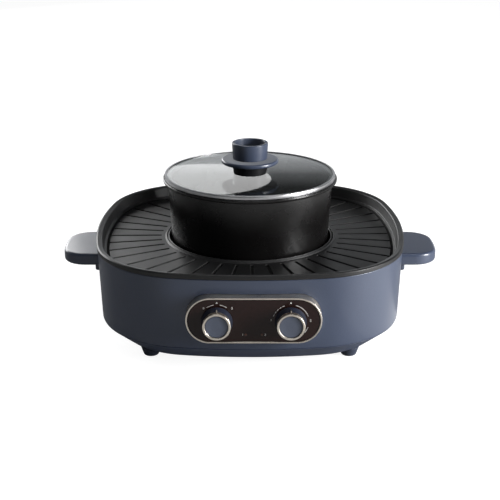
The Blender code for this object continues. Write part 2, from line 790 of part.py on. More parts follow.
def foot(root, name, side, end):
    """A tapered rubber foot with a stem that presses into the base cover."""
    top = BASE_BOTTOM - GAP
    stem_top = FLOOR_TOP + FOOT_STEM_HEIGHT
    rounding_centre = (FOOT_BOTTOM_RADIUS - FOOT_ROUNDING, FOOT_ROUNDING)
    rounding = arc(rounding_centre, FOOT_ROUNDING, 0, -90, ROUNDING_STEPS)
    profile = [
        (0, stem_top),
        (FOOT_STEM_RADIUS, stem_top),
        (FOOT_STEM_RADIUS, top),
        (FOOT_TOP_RADIUS, top),
        *rounding,
        (0, 0),
    ]
    place = (side * FOOT_X, end * FOOT_Y, 0)
    return turned(f"foot_{name}", profile, SMALL_TURN, root, place, look="soft_rubber")


def screw(name, length, parent, place, turn=(0, 0, 0), look="zinc_steel"):
    """A slotted pan-head screw whose head lies at local zero and whose shank points up."""
    head_top = -SCREW_HEAD_HEIGHT
    profile = [
        (0, length),
        (SCREW_SHANK_RADIUS, length),
        (SCREW_SHANK_RADIUS, 0),
        (SCREW_HEAD_RADIUS, 0),
        (SCREW_HEAD_RADIUS, head_top / 2),
        (SCREW_SHANK_RADIUS, head_top),
        (0, head_top),
    ]
    made = turned(name, profile, TINY_TURN, parent, place, turn, look)
    size = (2 * SCREW_HEAD_RADIUS + OVERRUN, SCREW_SLOT_WIDTH, 2 * SCREW_SLOT_DEPTH)
    cut(made, block(f"{name}_slot", size, (0, 0, head_top), parent, place, turn))
    return made


def base_screws(root):
    head_z = BASE_BOTTOM + BASE_SCREW_WELL - GAP
    top = HOUSING_BOTTOM + HOUSING_WALL + BOSS_HEIGHT - OVERRUN
    for name, (x, y) in base_screw_places().items():
        screw(f"base_screw_{name}", top - head_z, root, (x, y, head_z))


def handle(root, name, side):
    """A rounded slab on the housing's side, with a fin that runs down the wall."""
    corner = HANDLE_CORNER_RADIUS
    inner = RIM_HALF_WIDTH - LEDGE_REACH
    bow = HANDLE_BOW_RADIUS
    bow_rise = bow - math.sqrt(bow**2 - (HANDLE_HALF_LENGTH - corner) ** 2)
    tip = HANDLE_TIP - bow_rise
    upper = arc((tip - corner, HANDLE_HALF_LENGTH - corner), corner, 0, 90, HANDLE_CORNER_STEPS)
    lower = [(x, -y) for x, y in reversed(upper)]
    loop = [(inner, -HANDLE_HALF_LENGTH), *lower, (HANDLE_TIP, 0), *upper, (inner, HANDLE_HALF_LENGTH)]
    loop = [(side * x, y) for x, y in loop]
    bottom = HANDLE_TOP - HANDLE_THICKNESS
    grip = flat(f"handle_{name}", [loop], bottom, HANDLE_TOP, root, look="slate_paint")
    bevel(grip, HANDLE_EDGE)
    fin_out = RIM_HALF_WIDTH + FIN_REACH
    fin_size = (fin_out - inner, 2 * FIN_HALF_LENGTH, FIN_DROP + OVERRUN)
    fin_centre = (side * (fin_out + inner) / 2, 0, bottom - (FIN_DROP - OVERRUN) / 2)
    fin = block(f"handle_fin_{name}", fin_size, fin_centre, root)
    bevel(fin, OVERRUN)
    join(grip, fin)
    cut(grip, housing_space(root, name))
    for end_name, end in {"front": -1, "back": 1}.items():
        radius = SCREW_SHANK_RADIUS + GAP
        place = (side * inner, end * HANDLE_SCREW_Y, HANDLE_SCREW_Z)
        turn = (0, side * math.pi / 2, 0)
        depth = LEDGE_REACH + HANDLE_SCREW_LENGTH - HOUSING_WALL
        cut(grip, drum(f"handle_{name}_{end_name}_hole", radius, 0, depth, TINY_TURN, root, place, turn))
    return grip


def housing_space(root, name):
    """Cutter for the room that the housing needs, a gap larger than its outer face."""
    low = housing_inset(HOUSING_BOTTOM) - GAP
    high = housing_inset(HOUSING_TOP) - GAP
    profile = [(high, HOUSING_TOP), (low, HOUSING_BOTTOM)]
    return put(f"housing_space_{name}", swept(f"housing_space_{name}", profile), root)


def handle_screws(root):
    """Two screws for each handle, with their heads inside the housing."""
    wall_in = housing_inset(HANDLE_SCREW_Z) + HOUSING_WALL
    head_x = outline_half_width(HANDLE_SCREW_Y, wall_in) - SCREW_HEAD_SEAT
    for name, (side, end) in CORNERS.items():
        place = (side * head_x, end * HANDLE_SCREW_Y, HANDLE_SCREW_Z)
        turn = (0, side * math.pi / 2, 0)
        screw(f"handle_screw_{name}", HANDLE_SCREW_LENGTH, root, place, turn)


def grill_pan(lift):
    """The coated pan: rim, moat, grooved plate and the double ring round the pot."""
    plate_inset = PAN_WALL_SET_IN + STEP_WIDTH + MOAT_WIDTH + GAP
    moat_z = PLATE_Z - MOAT_DEPTH
    step_z = PLATE_Z + STEP_HEIGHT
    edge = RIM_HEIGHT / 3
    profile = [
        (plate_inset - PAN_WALL - MOAT_WIDTH, PAN_BOTTOM),
        (LIP_WIDTH + PAN_WALL, PAN_BOTTOM + PAN_WALL),
        (LIP_WIDTH, RIM_BOTTOM),
        (0, RIM_BOTTOM),
        (0, RIM_TOP - edge),
        (edge / 2, RIM_TOP - edge / 4),
        (edge, RIM_TOP),
        (LIP_WIDTH, RIM_TOP),
        (LIP_WIDTH + edge / 2, RIM_TOP - edge / 4),
        (LIP_WIDTH + edge, RIM_TOP - edge),
        (PAN_WALL_SET_IN, step_z),
        (PAN_WALL_SET_IN + STEP_WIDTH, step_z - STEP_HEIGHT / 4),
        (PAN_WALL_SET_IN + STEP_WIDTH + GAP, moat_z),
        (plate_inset - GAP, moat_z),
        (plate_inset, PLATE_Z - GAP),
        (plate_inset + GAP, PLATE_Z),
    ]
    pan = put("grill_pan", swept("grill_pan", profile), lift, look="grill_coating")
    hole = PAN_HOLE_RADIUS
    cutter = drum("pan_hole", hole + RING_VALLEY, PAN_BOTTOM - OVERRUN, RIM_TOP, FINE_TURN, lift)
    crest = PLATE_Z + RING_CREST
    bottom = PAN_BOTTOM - COLLAR_DROP
    ring_profile = [
        (hole, crest - RING_CREST / 2),
        (hole + RING_INNER_RIDGE / 2, crest - RING_CREST / 8),
        (hole + RING_INNER_RIDGE, crest),
        (hole + RING_VALLEY, crest - RING_CREST / 2),
        (hole + RING_OUTER_RIDGE, crest - RING_CREST / 4),
        (hole + RING_FOOT, PLATE_Z - GAP),
        (hole + RING_FOOT, PLATE_Z - PLATE_THICKNESS / 2),
        (hole + COLLAR_WALL, PLATE_Z - PLATE_THICKNESS / 2),
        (hole + COLLAR_WALL, bottom),
        (hole, bottom),
    ]
    ring = turned("pan_ring", ring_profile, FINE_TURN, lift, ring=True)
    cut(pan, cutter)
    join(pan, ring)
    cut(pan, groove_cutter(lift, plate_inset - MOAT_WIDTH / 2))
    return pan


def groove_cutter(lift, end_inset):
    """All the radial grooves as one cutter, each ending in the moat."""
    grid = bmesh.new()
    start = PAN_HOLE_RADIUS + GROOVE_START
    bottom, top = PLATE_Z - GROOVE_DEPTH, PLATE_Z + OVERRUN
    for i in range(GROOVE_COUNT):
        angle = math.radians(GROOVE_TURN_DEGREES + 360 * i / GROOVE_COUNT)
        end = outline_reach(angle, end_inset)
        rib = bmesh.new()
        bmesh.ops.create_cube(rib, size=1)
        bmesh.ops.scale(rib, verts=rib.verts, vec=(end - start, GROOVE_WIDTH, top - bottom))
        bmesh.ops.translate(rib, verts=rib.verts, vec=((end + start) / 2, 0, (top + bottom) / 2))
        corners = [vertex.co.copy() for vertex in rib.verts]
        faces = [[vertex.index for vertex in face.verts] for face in rib.faces]
        rib.free()
        cosine, sine = math.cos(angle), math.sin(angle)
        new = [
            grid.verts.new((c.x * cosine - c.y * sine, c.x * sine + c.y * cosine, c.z))
            for c in corners
        ]
        for face in faces:
            grid.faces.new([new[index] for index in face])
    return put("groove_cutter", mesh_from("groove_cutter", grid), lift)


def pot(lift):
    """The tapered pot with a rolled rim."""
    neck = POT_TOP - POT_RIM_HEIGHT
    corner = POT_CORNER_RADIUS
    foot_radius = pot_radius(POT_BOTTOM + corner) - corner
    outer_arc = arc((foot_radius, POT_BOTTOM + corner), corner, 0, -90, POT_FILLET_STEPS)
    inner_corner = corner - POT_WALL
    floor = POT_BOTTOM + POT_FLOOR
    inner_arc = arc((foot_radius, floor + inner_corner), inner_corner, -90, 0, POT_FILLET_STEPS)
    rim_out = POT_TOP_RADIUS + POT_RIM_REACH
    roll = POT_RIM_HEIGHT / 3
    profile = [
        (0, floor),
        *inner_arc,
        (POT_TOP_RADIUS - POT_WALL, neck),
        (POT_TOP_RADIUS - POT_WALL + roll, neck + 2 * roll),
        (POT_TOP_RADIUS + roll, POT_TOP),
        (rim_out - roll, POT_TOP),
        (rim_out - roll / 4, POT_TOP - roll / 2),
        (rim_out, POT_TOP - roll),
        (rim_out - roll / 2, POT_TOP - 2 * roll),
        (rim_out - 2 * roll, neck + roll / 2),
        (POT_TOP_RADIUS, neck),
        *outer_arc,
        (0, POT_BOTTOM),
    ]
    return turned("pot", profile, FINE_TURN, lift, look="pot_coating")


def heater_tray(root):
    """The steel dish under the heater, with two holes for the element's ends."""
    top = TRAY_TOP + TRAY_WALL_HEIGHT
    inner = TRAY_RADIUS - TRAY_SHEET
    profile = [
        (0, TRAY_TOP),
        (inner, TRAY_TOP),
        (inner, top),
        (TRAY_RADIUS, top),
        (TRAY_RADIUS, TRAY_BOTTOM),
        (0, TRAY_BOTTOM),
    ]
    dish = turned("heater_tray", profile, FINE_TURN, root, look="zinc_steel")
    radius = POT_ELEMENT_TUBE + GAP
    low, high = HEATER_RADIUS, POT_ELEMENT_REACH
    turn = (-math.pi / 2, 0, 0)
    for name, side in SIDES.items():
        place = (side * ELEMENT_END_SPACING / 2, 0, HEATER_BOTTOM - GAP - POT_ELEMENT_TUBE)
        cut(dish, drum(f"tray_hole_{name}", radius, low, high, TINY_TURN, root, place, turn))
    return dish


def pot_heater_plate(root):
    """The cast heater disc with a middle hole for the sensor and three short legs."""
    hole = SENSOR_RADIUS + RUNNING_GAP
    edge = HEATER_THICKNESS / 8
    profile = [
        (hole, HEATER_TOP),
        (HEATER_RADIUS - edge, HEATER_TOP),
        (HEATER_RADIUS, HEATER_TOP - edge),
        (HEATER_RADIUS, HEATER_BOTTOM),
        (hole, HEATER_BOTTOM),
    ]
    plate = turned("pot_heater_plate", profile, FINE_TURN, root, look="dull_aluminium", ring=True)
    for i in range(HEATER_LEG_COUNT):
        turn = math.radians(-90 + 360 * i / HEATER_LEG_COUNT)
        place = (HEATER_LEG_PLACE * math.cos(turn), HEATER_LEG_PLACE * math.sin(turn), 0)
        low, high = TRAY_TOP + GAP, HEATER_BOTTOM + OVERRUN
        join(plate, drum(f"heater_leg_{i}", HEATER_LEG_RADIUS, low, high, TINY_TURN, root, place))
    return plate


def pot_heating_element(root):
    """A nearly closed ring of tube under the heater, whose ends run out to the back."""
    z = HEATER_BOTTOM - GAP - POT_ELEMENT_TUBE
    half = ELEMENT_END_SPACING / 2
    bend = half
    ring = POT_ELEMENT_RADIUS
    bend_x = half + bend
    bend_y = math.sqrt((ring + bend) ** 2 - bend_x**2)
    start = math.degrees(math.atan2(bend_y, bend_x))
    turn_in = arc((bend_x, bend_y), bend, 180, 180 + start, ELEMENT_BEND_STEPS)
    right = [(half, POT_ELEMENT_REACH), *turn_in[:-1]]
    sweep = arc((0, 0), ring, start, -90, ELEMENT_STEPS // 2)
    half_loop = right + sweep
    loop = half_loop + [(-x, y) for x, y in reversed(half_loop[:-1])]
    points = [(x, y, z) for x, y in loop]
    return tube("pot_heating_element", points, POT_ELEMENT_TUBE, root, "element_steel")


def sensor(root, press):
    """The sprung sensor cap, its spring and the guide that stands on the heater tray."""
    top = HEATER_TOP
    flange_top = HEATER_BOTTOM - GAP
    flange_bottom = flange_top - SENSOR_FLANGE_THICKNESS
    flange = SENSOR_RADIUS + SENSOR_FLANGE
    inner = SENSOR_RADIUS - SENSOR_WALL
    cap = [
        (0, top),
        (SENSOR_RADIUS, top),
        (SENSOR_RADIUS, flange_top),
        (flange, flange_top),
        (flange, flange_bottom),
        (inner, flange_bottom),
        (inner, top - SENSOR_CAP),
        (0, top - SENSOR_CAP),
    ]
    turned("sensor_head", cap, SMALL_TURN, press, look="dull_aluminium")
    base_bottom = TRAY_TOP + GAP
    base_top = base_bottom + SENSOR_BASE_THICKNESS
    guide = [
        (0, base_top + SENSOR_PIN_HEIGHT),
        (SENSOR_PIN_RADIUS, base_top + SENSOR_PIN_HEIGHT),
        (SENSOR_PIN_RADIUS, base_top),
        (SENSOR_BASE_RADIUS, base_top),
        (SENSOR_BASE_RADIUS, base_bottom),
        (0, base_bottom),
    ]
    turned("sensor_guide", guide, SMALL_TURN, root, look="tan_phenolic")
    low = base_top + GAP + SPRING_WIRE
    high = top - SENSOR_CAP - GAP - SPRING_WIRE
    count = SPRING_TURNS * SPRING_POINTS_PER_TURN
    points = []
    for i in range(count + 1):
        turn = math.tau * i / SPRING_POINTS_PER_TURN
        height = low + (high - low) * i / count
        points.append((SPRING_RADIUS * math.cos(turn), SPRING_RADIUS * math.sin(turn), height))
    tube("sensor_spring", points, SPRING_WIRE, root, "bright_steel")


def thermal_fuse(root):
    """A small capsule with two leads, held against the heater's underside."""
    z = HEATER_BOTTOM - GAP - FUSE_RADIUS
    half = FUSE_LENGTH / 2
    end = half + FUSE_LEAD_LENGTH
    profile = [
        (0, end),
        (FUSE_LEAD_RADIUS, end),
        (FUSE_LEAD_RADIUS, half),
        (FUSE_RADIUS, half),
        (FUSE_RADIUS, -half),
        (FUSE_LEAD_RADIUS, -half),
        (FUSE_LEAD_RADIUS, -end),
        (0, -end),
    ]
    turn = (0, math.pi / 2, 0)
    return turned("thermal_fuse", profile, TINY_TURN, root, (0, -FUSE_PLACE, z), turn, "white_sleeve")


def heat_reflector(root):
    """The steel tray on the housing's ledge, with a collar round the pot and four rests."""
    sheet = REFLECTOR_SHEET
    inset = REFLECTOR_MARGIN
    drop = inset + REFLECTOR_FLANGE
    floor = REFLECTOR_FLOOR
    profile = [
        (drop, floor),
        (drop, REFLECTOR_TOP - sheet),
        (inset, REFLECTOR_TOP - sheet),
        (inset, REFLECTOR_TOP),
        (drop + sheet, REFLECTOR_TOP),
        (drop + sheet, floor + sheet),
    ]
    tray = put("heat_reflector", swept("heat_reflector", profile), root, look="zinc_steel")
    inner = PAN_HOLE_RADIUS + COLLAR_WALL + REFLECTOR_COLLAR_GAP
    hole_top = REFLECTOR_TOP + OVERRUN
    hole = drum("reflector_hole", inner + sheet / 2, floor - OVERRUN, hole_top, FINE_TURN, root)
    collar_top = floor + REFLECTOR_COLLAR_HEIGHT
    collar = [
        (inner, collar_top),
        (inner + sheet, collar_top),
        (inner + sheet, floor - sheet),
        (inner, floor - sheet),
    ]
    cut(tray, hole)
    join(tray, turned("reflector_collar", collar, FINE_TURN, root, ring=True))
    rest_bottom = floor + sheet / 2
    rest_top = GRILL_ELEMENT_Z - GRILL_ELEMENT_TUBE - GAP
    for i in range(SUPPORT_COUNT):
        angle = support_angle(i)
        reach = outline_reach(angle, GRILL_ELEMENT_INSET)
        place = (reach * math.cos(angle), reach * math.sin(angle), 0)
        rest = drum(f"element_rest_{i}", SUPPORT_RADIUS, rest_bottom, rest_top, TINY_TURN, root, place)
        join(tray, rest)
    for name, side in SIDES.items():
        place = (side * ELEMENT_END_SPACING / 2, grill_element_back(), 0)
        radius = GRILL_ELEMENT_TUBE + RUNNING_GAP
        cut(tray, drum(f"element_hole_{name}", radius, floor - OVERRUN, hole_top, TINY_TURN, root, place))
    return tray


def grill_element_back():
    return RIM_HALF_DEPTH - GRILL_ELEMENT_INSET


def grill_heating_element(root):
    """A tube that follows the pan's outline and turns down through the reflector at the back."""
    loop = outline(GRILL_ELEMENT_INSET)
    back = 2 * SIDE_STEPS + CORNER_STEPS
    loop = loop[back + 1 :] + loop[:back]
    half = ELEMENT_END_SPACING / 2
    bend = half
    z = GRILL_ELEMENT_Z
    y = grill_element_back()
    down = arc((half + bend, z - bend), bend, 90, 180, ELEMENT_BEND_STEPS)
    right = [(x, y, height) for x, height in down] + [(half, y, z - GRILL_ELEMENT_DROP)]
    left = [(-x, side_y, height) for x, side_y, height in reversed(right)]
    points = left + [(x, loop_y, z) for x, loop_y in loop] + right
    return tube("grill_heating_element", points, GRILL_ELEMENT_TUBE, root, "element_steel")


def lid(lift):
    """The glass, its steel rim, and the three-piece knob with its screw and washer."""
    outer = POT_TOP_RADIUS + POT_RIM_REACH - LID_SET_IN
    sheet = LID_SHEET
    bottom = POT_TOP + GAP
    top = GLASS_TOP + GAP + sheet
    inner = outer - LID_RIM_WIDTH
    bulge = sheet / 2
    skirt = POT_TOP_RADIUS - POT_WALL - LID_SKIRT_GAP
    skirt_bottom = POT_TOP - LID_SKIRT_DEPTH
    middle = (top + bottom) / 2
    rim = [
        (inner, top),
        (outer - bulge - sheet, top),
        (outer - bulge / 2, top - sheet),
        (outer, middle),
        (outer - bulge, bottom),
        (skirt, bottom),
        (skirt, skirt_bottom),
        (skirt - sheet, skirt_bottom),
        (skirt - sheet, bottom + sheet),
        (outer - 2 * sheet, bottom + sheet),
        (outer - 2 * sheet, top - sheet),
        (inner, top - sheet),
    ]
    turned("lid_rim", rim, FINE_TURN, lift, look="bright_steel", ring=True)
    glass_edge = outer - 2 * sheet - GAP
    glass = [
        (LID_HOLE_RADIUS, GLASS_TOP),
        (glass_edge, GLASS_TOP),
        (glass_edge, GLASS_BOTTOM),
        (LID_HOLE_RADIUS, GLASS_BOTTOM),
    ]
    turned("lid_glass", glass, FINE_TURN, lift, look="clear_glass", ring=True)
    bore = LID_SCREW_RADIUS + GAP
    base_top = KNOB_BASE_BOTTOM + KNOB_BASE_HEIGHT
    base = [
        (bore, base_top),
        (KNOB_BASE_RADIUS - KNOB_EDGE, base_top),
        (KNOB_BASE_RADIUS, base_top - KNOB_EDGE),
        (KNOB_BASE_FOOT_RADIUS, KNOB_BASE_BOTTOM),
        (bore, KNOB_BASE_BOTTOM),
    ]
    turned("lid_knob_base", base, MEDIUM_TURN, lift, look="black_plastic", ring=True)
    edge = KNOB_FLANGE_EDGE
    flange_top = KNOB_FLANGE_BOTTOM + KNOB_FLANGE_THICKNESS
    centre = KNOB_FLANGE_RADIUS - edge
    upper = arc((centre, flange_top - edge), edge, 90, 0, ROUNDING_STEPS)
    lower = arc((centre, KNOB_FLANGE_BOTTOM + edge), edge, 0, -90, ROUNDING_STEPS)
    flange = [(bore, flange_top), *upper, *lower, (bore, KNOB_FLANGE_BOTTOM)]
    turned("lid_knob_flange", flange, MEDIUM_TURN, lift, look="slate_paint", ring=True)
    grip(lift)
    head = LID_SCREW_HEAD_HEIGHT
    washer_top = GLASS_BOTTOM - GAP
    washer_bottom = washer_top - LID_WASHER_THICKNESS
    washer = [
        (bore, washer_top),
        (LID_WASHER_RADIUS, washer_top),
        (LID_WASHER_RADIUS, washer_bottom),
        (bore, washer_bottom),
    ]
    turned("lid_washer", washer, SMALL_TURN, lift, look="soft_rubber", ring=True)
    head_top = washer_bottom - GAP
    screw_top = KNOB_GRIP_BOTTOM + KNOB_GRIP_FLOOR / 2
    bolt = [
        (0, screw_top),
        (LID_SCREW_RADIUS, screw_top),
        (LID_SCREW_RADIUS, head_top),
        (LID_SCREW_HEAD_RADIUS, head_top),
        (LID_SCREW_HEAD_RADIUS - KNOB_EDGE, head_top - head),
        (0, head_top - head),
    ]
    made = turned("lid_screw", bolt, SMALL_TURN, lift, look="bright_steel")
    size = (2 * LID_SCREW_HEAD_RADIUS + OVERRUN, SCREW_SLOT_WIDTH, 2 * SCREW_SLOT_DEPTH)
    cut(made, block("lid_screw_slot", size, (0, 0, head_top - head), lift))


def grip(lift):
    """The cup that one holds: open on top, with a shallow notch on either side."""
    top = KNOB_GRIP_BOTTOM + KNOB_GRIP_HEIGHT
    inner = KNOB_GRIP_RADIUS - KNOB_GRIP_WALL
    floor = KNOB_GRIP_BOTTOM + KNOB_GRIP_FLOOR
    profile = [
        (0, floor),
        (inner - KNOB_EDGE, floor),
        (inner, floor + KNOB_EDGE),
        (inner, top - KNOB_EDGE),
        (inner + KNOB_EDGE, top),
        (KNOB_GRIP_RADIUS - KNOB_EDGE, top),
        (KNOB_GRIP_RADIUS, top - KNOB_EDGE),
        (KNOB_GRIP_FOOT_RADIUS, KNOB_GRIP_BOTTOM),
        (0, KNOB_GRIP_BOTTOM),
    ]
    cup = turned("lid_knob_grip", profile, MEDIUM_TURN, lift, look="slate_paint")
    bore = LID_SCREW_RADIUS + GAP
    bore_top = KNOB_GRIP_BOTTOM + KNOB_GRIP_FLOOR / 2 + GAP
    cut(cup, drum("grip_bore", bore, KNOB_GRIP_BOTTOM - OVERRUN, bore_top, TINY_TURN, lift))
    size = (2 * KNOB_GRIP_RADIUS + OVERRUN, KNOB_NOTCH_WIDTH, 2 * KNOB_NOTCH_DEPTH)
    cut(cup, block("grip_notch", size, (0, 0, top), lift))
    return cup


def control_panel(root):
    """The trim ring, the backing box and the glossy plate with its two lamps."""
    frame = panel_frame(root, "panel")
    width, height = PANEL_WIDTH, PANEL_HEIGHT
    back = -(PANEL_BACK - TRIM_BACK_SPARE)
    loops = [stadium(width, height), stadium(width, height, TRIM_WALL)]
    flat("panel_trim", loops, back, 0, frame, look="champagne_metal")
    inside = TRIM_WALL + GAP
    plate_back = -PANEL_PLATE_RECESS - PANEL_PLATE_THICKNESS
    plate_loop = stadium(width, height, inside)
    plate = flat("control_panel", [plate_loop], plate_back, -PANEL_PLATE_RECESS, frame, look="brown_gloss")
    base_front = plate_back - GAP
    base = flat("panel_base", [plate_loop], -PANEL_BASE_BACK, base_front, frame, look="black_plastic")
    pocket_loop = stadium(width, height, inside + PANEL_BASE_WALL)
    pocket_floor = -PANEL_BASE_BACK + PANEL_BASE_FLOOR
    cut(base, flat("panel_pocket", [pocket_loop], pocket_floor, base_front + OVERRUN, frame))
    plate_low, plate_high = plate_back - OVERRUN, OVERRUN
    base_low, base_high = -PANEL_BASE_BACK - OVERRUN, pocket_floor + OVERRUN
    shaft_hole = SHAFT_RADIUS + RUNNING_GAP
    neck_hole = NECK_RADIUS + GAP
    lamp_hole = LAMP_RADIUS + GAP
    for name, side in SIDES.items():
        place = (side * DIAL_SPACING / 2, -DIAL_DROP, 0)
        cut(plate, drum(f"plate_hole_{name}", shaft_hole, plate_low, plate_high, TINY_TURN, frame, place))
        cut(base, drum(f"base_hole_{name}", neck_hole, base_low, base_high, TINY_TURN, frame, place))
        place = (side * LAMP_SPACING / 2, -LAMP_DROP, 0)
        cut(plate, drum(f"lamp_hole_{name}", lamp_hole, plate_low, plate_high, TINY_TURN, frame, place))
        indicator_lamp(frame, name, place, plate_back)
    return frame


def indicator_lamp(frame, name, place, plate_back):
    """A domed lens that passes through the plate, with a flange behind it."""
    flange_front = plate_back - GAP
    flange_back = flange_front - LAMP_FLANGE
    front = LAMP_PROUD - PANEL_PLATE_RECESS
    profile = [
        (0, front),
        (LAMP_RADIUS / 2, front - LAMP_PROUD / 4),
        (LAMP_RADIUS, -PANEL_PLATE_RECESS),
        (LAMP_RADIUS, flange_front),
        (LAMP_RADIUS + LAMP_FLANGE, flange_front),
        (LAMP_RADIUS + LAMP_FLANGE, flange_back),
        (LAMP_RADIUS, flange_back),
        (LAMP_RADIUS, flange_back - LAMP_TAIL),
        (0, flange_back - LAMP_TAIL),
    ]
    return turned(f"indicator_lamp_{name}", profile, TINY_TURN, frame, place, look="lamp_lens")


def dial(spin, name):
    """One knob on its shaft: skirt, champagne ring, grey cap and pointer."""
    front = DIAL_DEPTH
    ring_back = front - DIAL_RING_DEPTH
    cap_room = DIAL_RING_RADIUS - DIAL_RING_WIDTH
    cap_back = front - DIAL_CAP_RECESS - DIAL_CAP_THICKNESS
    seat = cap_back - GAP
    bore = SHAFT_RADIUS + GAP
    ring_seat = ring_back - GAP
    slope = (DIAL_BACK_RADIUS - DIAL_FRONT_RADIUS) / ring_seat
    inner_back = DIAL_BACK_RADIUS - DIAL_WALL
    body = [
        (0, seat),
        (cap_room - GAP, seat),
        (cap_room - GAP, ring_seat),
        (DIAL_FRONT_RADIUS, ring_seat),
        (DIAL_BACK_RADIUS, 0),
        (inner_back, 0),
        (inner_back - slope * ring_seat, ring_seat - DIAL_WALL),
        (DIAL_HUB_RADIUS, ring_seat - DIAL_WALL),
        (DIAL_HUB_RADIUS, 0),
        (bore, 0),
        (bore, DIAL_BORE_DEPTH),
        (0, DIAL_BORE_DEPTH),
    ]
    skirt = turned(f"knob_{name}_skirt", body, MEDIUM_TURN, spin, look="navy_plastic")
    edge = DIAL_RING_PROUD
    ring = [
        (cap_room, front),
        (cap_room + edge, front + edge),
        (DIAL_RING_RADIUS - edge, front + edge),
        (DIAL_RING_RADIUS, front),
        (DIAL_RING_RADIUS, ring_back),
        (cap_room, ring_back),
    ]
    turned(f"knob_{name}_ring", ring, MEDIUM_TURN, spin, look="champagne_metal", ring=True)
    cap_radius = cap_room - GAP
    cap = [
        (0, front - DIAL_CAP_RECESS),
        (cap_radius, front - DIAL_CAP_RECESS),
        (cap_radius, cap_back),
        (0, cap_back),
    ]
    turned(f"knob_{name}_cap", cap, MEDIUM_TURN, spin, look="cap_grey")
    pointer_front = ring_seat - GAP
    size = (POINTER_WIDTH, POINTER_DEPTH + POINTER_PROUD, POINTER_LENGTH)
    surface = DIAL_FRONT_RADIUS + slope * POINTER_LENGTH
    centre = (0, surface + (POINTER_PROUD - POINTER_DEPTH) / 2, pointer_front - POINTER_LENGTH / 2)
    block(f"knob_{name}_pointer", size, centre, spin, look="champagne_metal")
    room = [length + 2 * GAP for length in size]
    cut(skirt, block(f"pointer_room_{name}", room, centre, spin))
    shaft_back = -PANEL_BASE_BACK - SHAFT_IN
    shaft_front = DIAL_BORE_DEPTH - GAP
    drum(f"knob_{name}_shaft", SHAFT_RADIUS, shaft_back, shaft_front, SMALL_TURN, spin, look="pin_brass")


def thermostat(frame, name, side):
    """The switch body behind the panel, its threaded neck and two terminals, and its nut."""
    front = -PANEL_BASE_BACK - GAP
    back = front - THERMOSTAT_DEPTH
    place = (side * DIAL_SPACING / 2, -DIAL_DROP, 0)
    size = (THERMOSTAT_WIDTH, THERMOSTAT_HEIGHT, THERMOSTAT_DEPTH)
    body = block(f"{name}_thermostat", size, (0, 0, (front + back) / 2), frame, place, look="tan_phenolic")
    bevel(body, THERMOSTAT_EDGE)
    floor_front = -PANEL_BASE_BACK + PANEL_BASE_FLOOR
    nut_back = floor_front + GAP
    nut_front = nut_back + NUT_THICKNESS
    neck_top = nut_front + NECK_SPARE
    low = front - OVERRUN
    join(body, drum(f"{name}_thermostat_neck", NECK_RADIUS, low, neck_top, SMALL_TURN, frame, place))
    size = (TERMINAL_WIDTH, TERMINAL_THICKNESS, TERMINAL_LENGTH + OVERRUN)
    for end in SIDES.values():
        centre = (end * TERMINAL_SPACING / 2, 0, back - (TERMINAL_LENGTH - OVERRUN) / 2)
        join(body, block(f"{name}_terminal_{end}", size, centre, frame, place))
    bore = SHAFT_RADIUS + GAP
    bore_back = -PANEL_BASE_BACK - SHAFT_IN - GAP
    cut(body, drum(f"{name}_bore", bore, bore_back, neck_top + OVERRUN, SMALL_TURN, frame, place))
    hexagon = circle(NUT_RADIUS, NUT_SIDES)
    hole = circle(NECK_RADIUS + GAP, SMALL_TURN)
    flat(f"{name}_thermostat_nut", [hexagon, hole], nut_back, nut_front, frame, place, look="zinc_steel")


def power_inlet(root):
    """The socket in the back wall with its three pins; the lead itself isn't shown."""
    frame = inlet_frame(root, "inlet")
    width, height = INLET_WIDTH, INLET_HEIGHT
    back = -INLET_DEPTH
    size = (width, height, INLET_DEPTH)
    body = block("power_inlet", size, (0, 0, back / 2), frame, look="black_plastic")
    reach = 2 * INLET_FLANGE_REACH
    flange_size = (width + reach, height + reach, INLET_FLANGE_THICKNESS)
    flange = block("inlet_flange", flange_size, (0, 0, -INLET_FLANGE_THICKNESS / 2), frame)
    bevel(flange, INLET_EDGE)
    join(body, flange)
    room = (width - 2 * INLET_WALL, height - 2 * INLET_WALL, INLET_DEPTH - INLET_FLOOR + OVERRUN)
    cut(body, block("inlet_room", room, (0, 0, -(INLET_DEPTH - INLET_FLOOR - OVERRUN) / 2), frame))
    places = {
        "live": (-PIN_SPREAD, -PIN_RAISE / 2),
        "neutral": (PIN_SPREAD, -PIN_RAISE / 2),
        "earth": (0, PIN_RAISE),
    }
    floor = back + INLET_FLOOR
    for name, (x, y) in places.items():
        hole = PIN_RADIUS + GAP
        low, high = back - OVERRUN, floor + OVERRUN
        cut(body, drum(f"inlet_hole_{name}", hole, low, high, TINY_TURN, frame, (x, y, 0)))
        low, high = back - PIN_TAIL, floor + PIN_OUT
        drum(f"inlet_pin_{name}", PIN_RADIUS, low, high, TINY_TURN, frame, (x, y, 0), look="pin_brass")


def smoothed(points, steps):
    """Points along a smooth curve that passes through every given point."""
    ends = [points[0], *points, points[-1]]
    curve = []
    for before, start, end, after in zip(ends, ends[1:], ends[2:], ends[3:]):
        for i in range(steps):
            t = i / steps
            curve.append(
                tuple(
                    0.5
                    * (
                        2 * s
                        + (e - b) * t
                        + (2 * b - 5 * s + 4 * e - a) * t**2
                        + (3 * s - b - 3 * e + a) * t**3
                    )
                    for b, s, e, a in zip(before, start, end, after)
                )
            )
    return curve + [points[-1]]


def between(start, end, share):
    return start + (end - start) * share


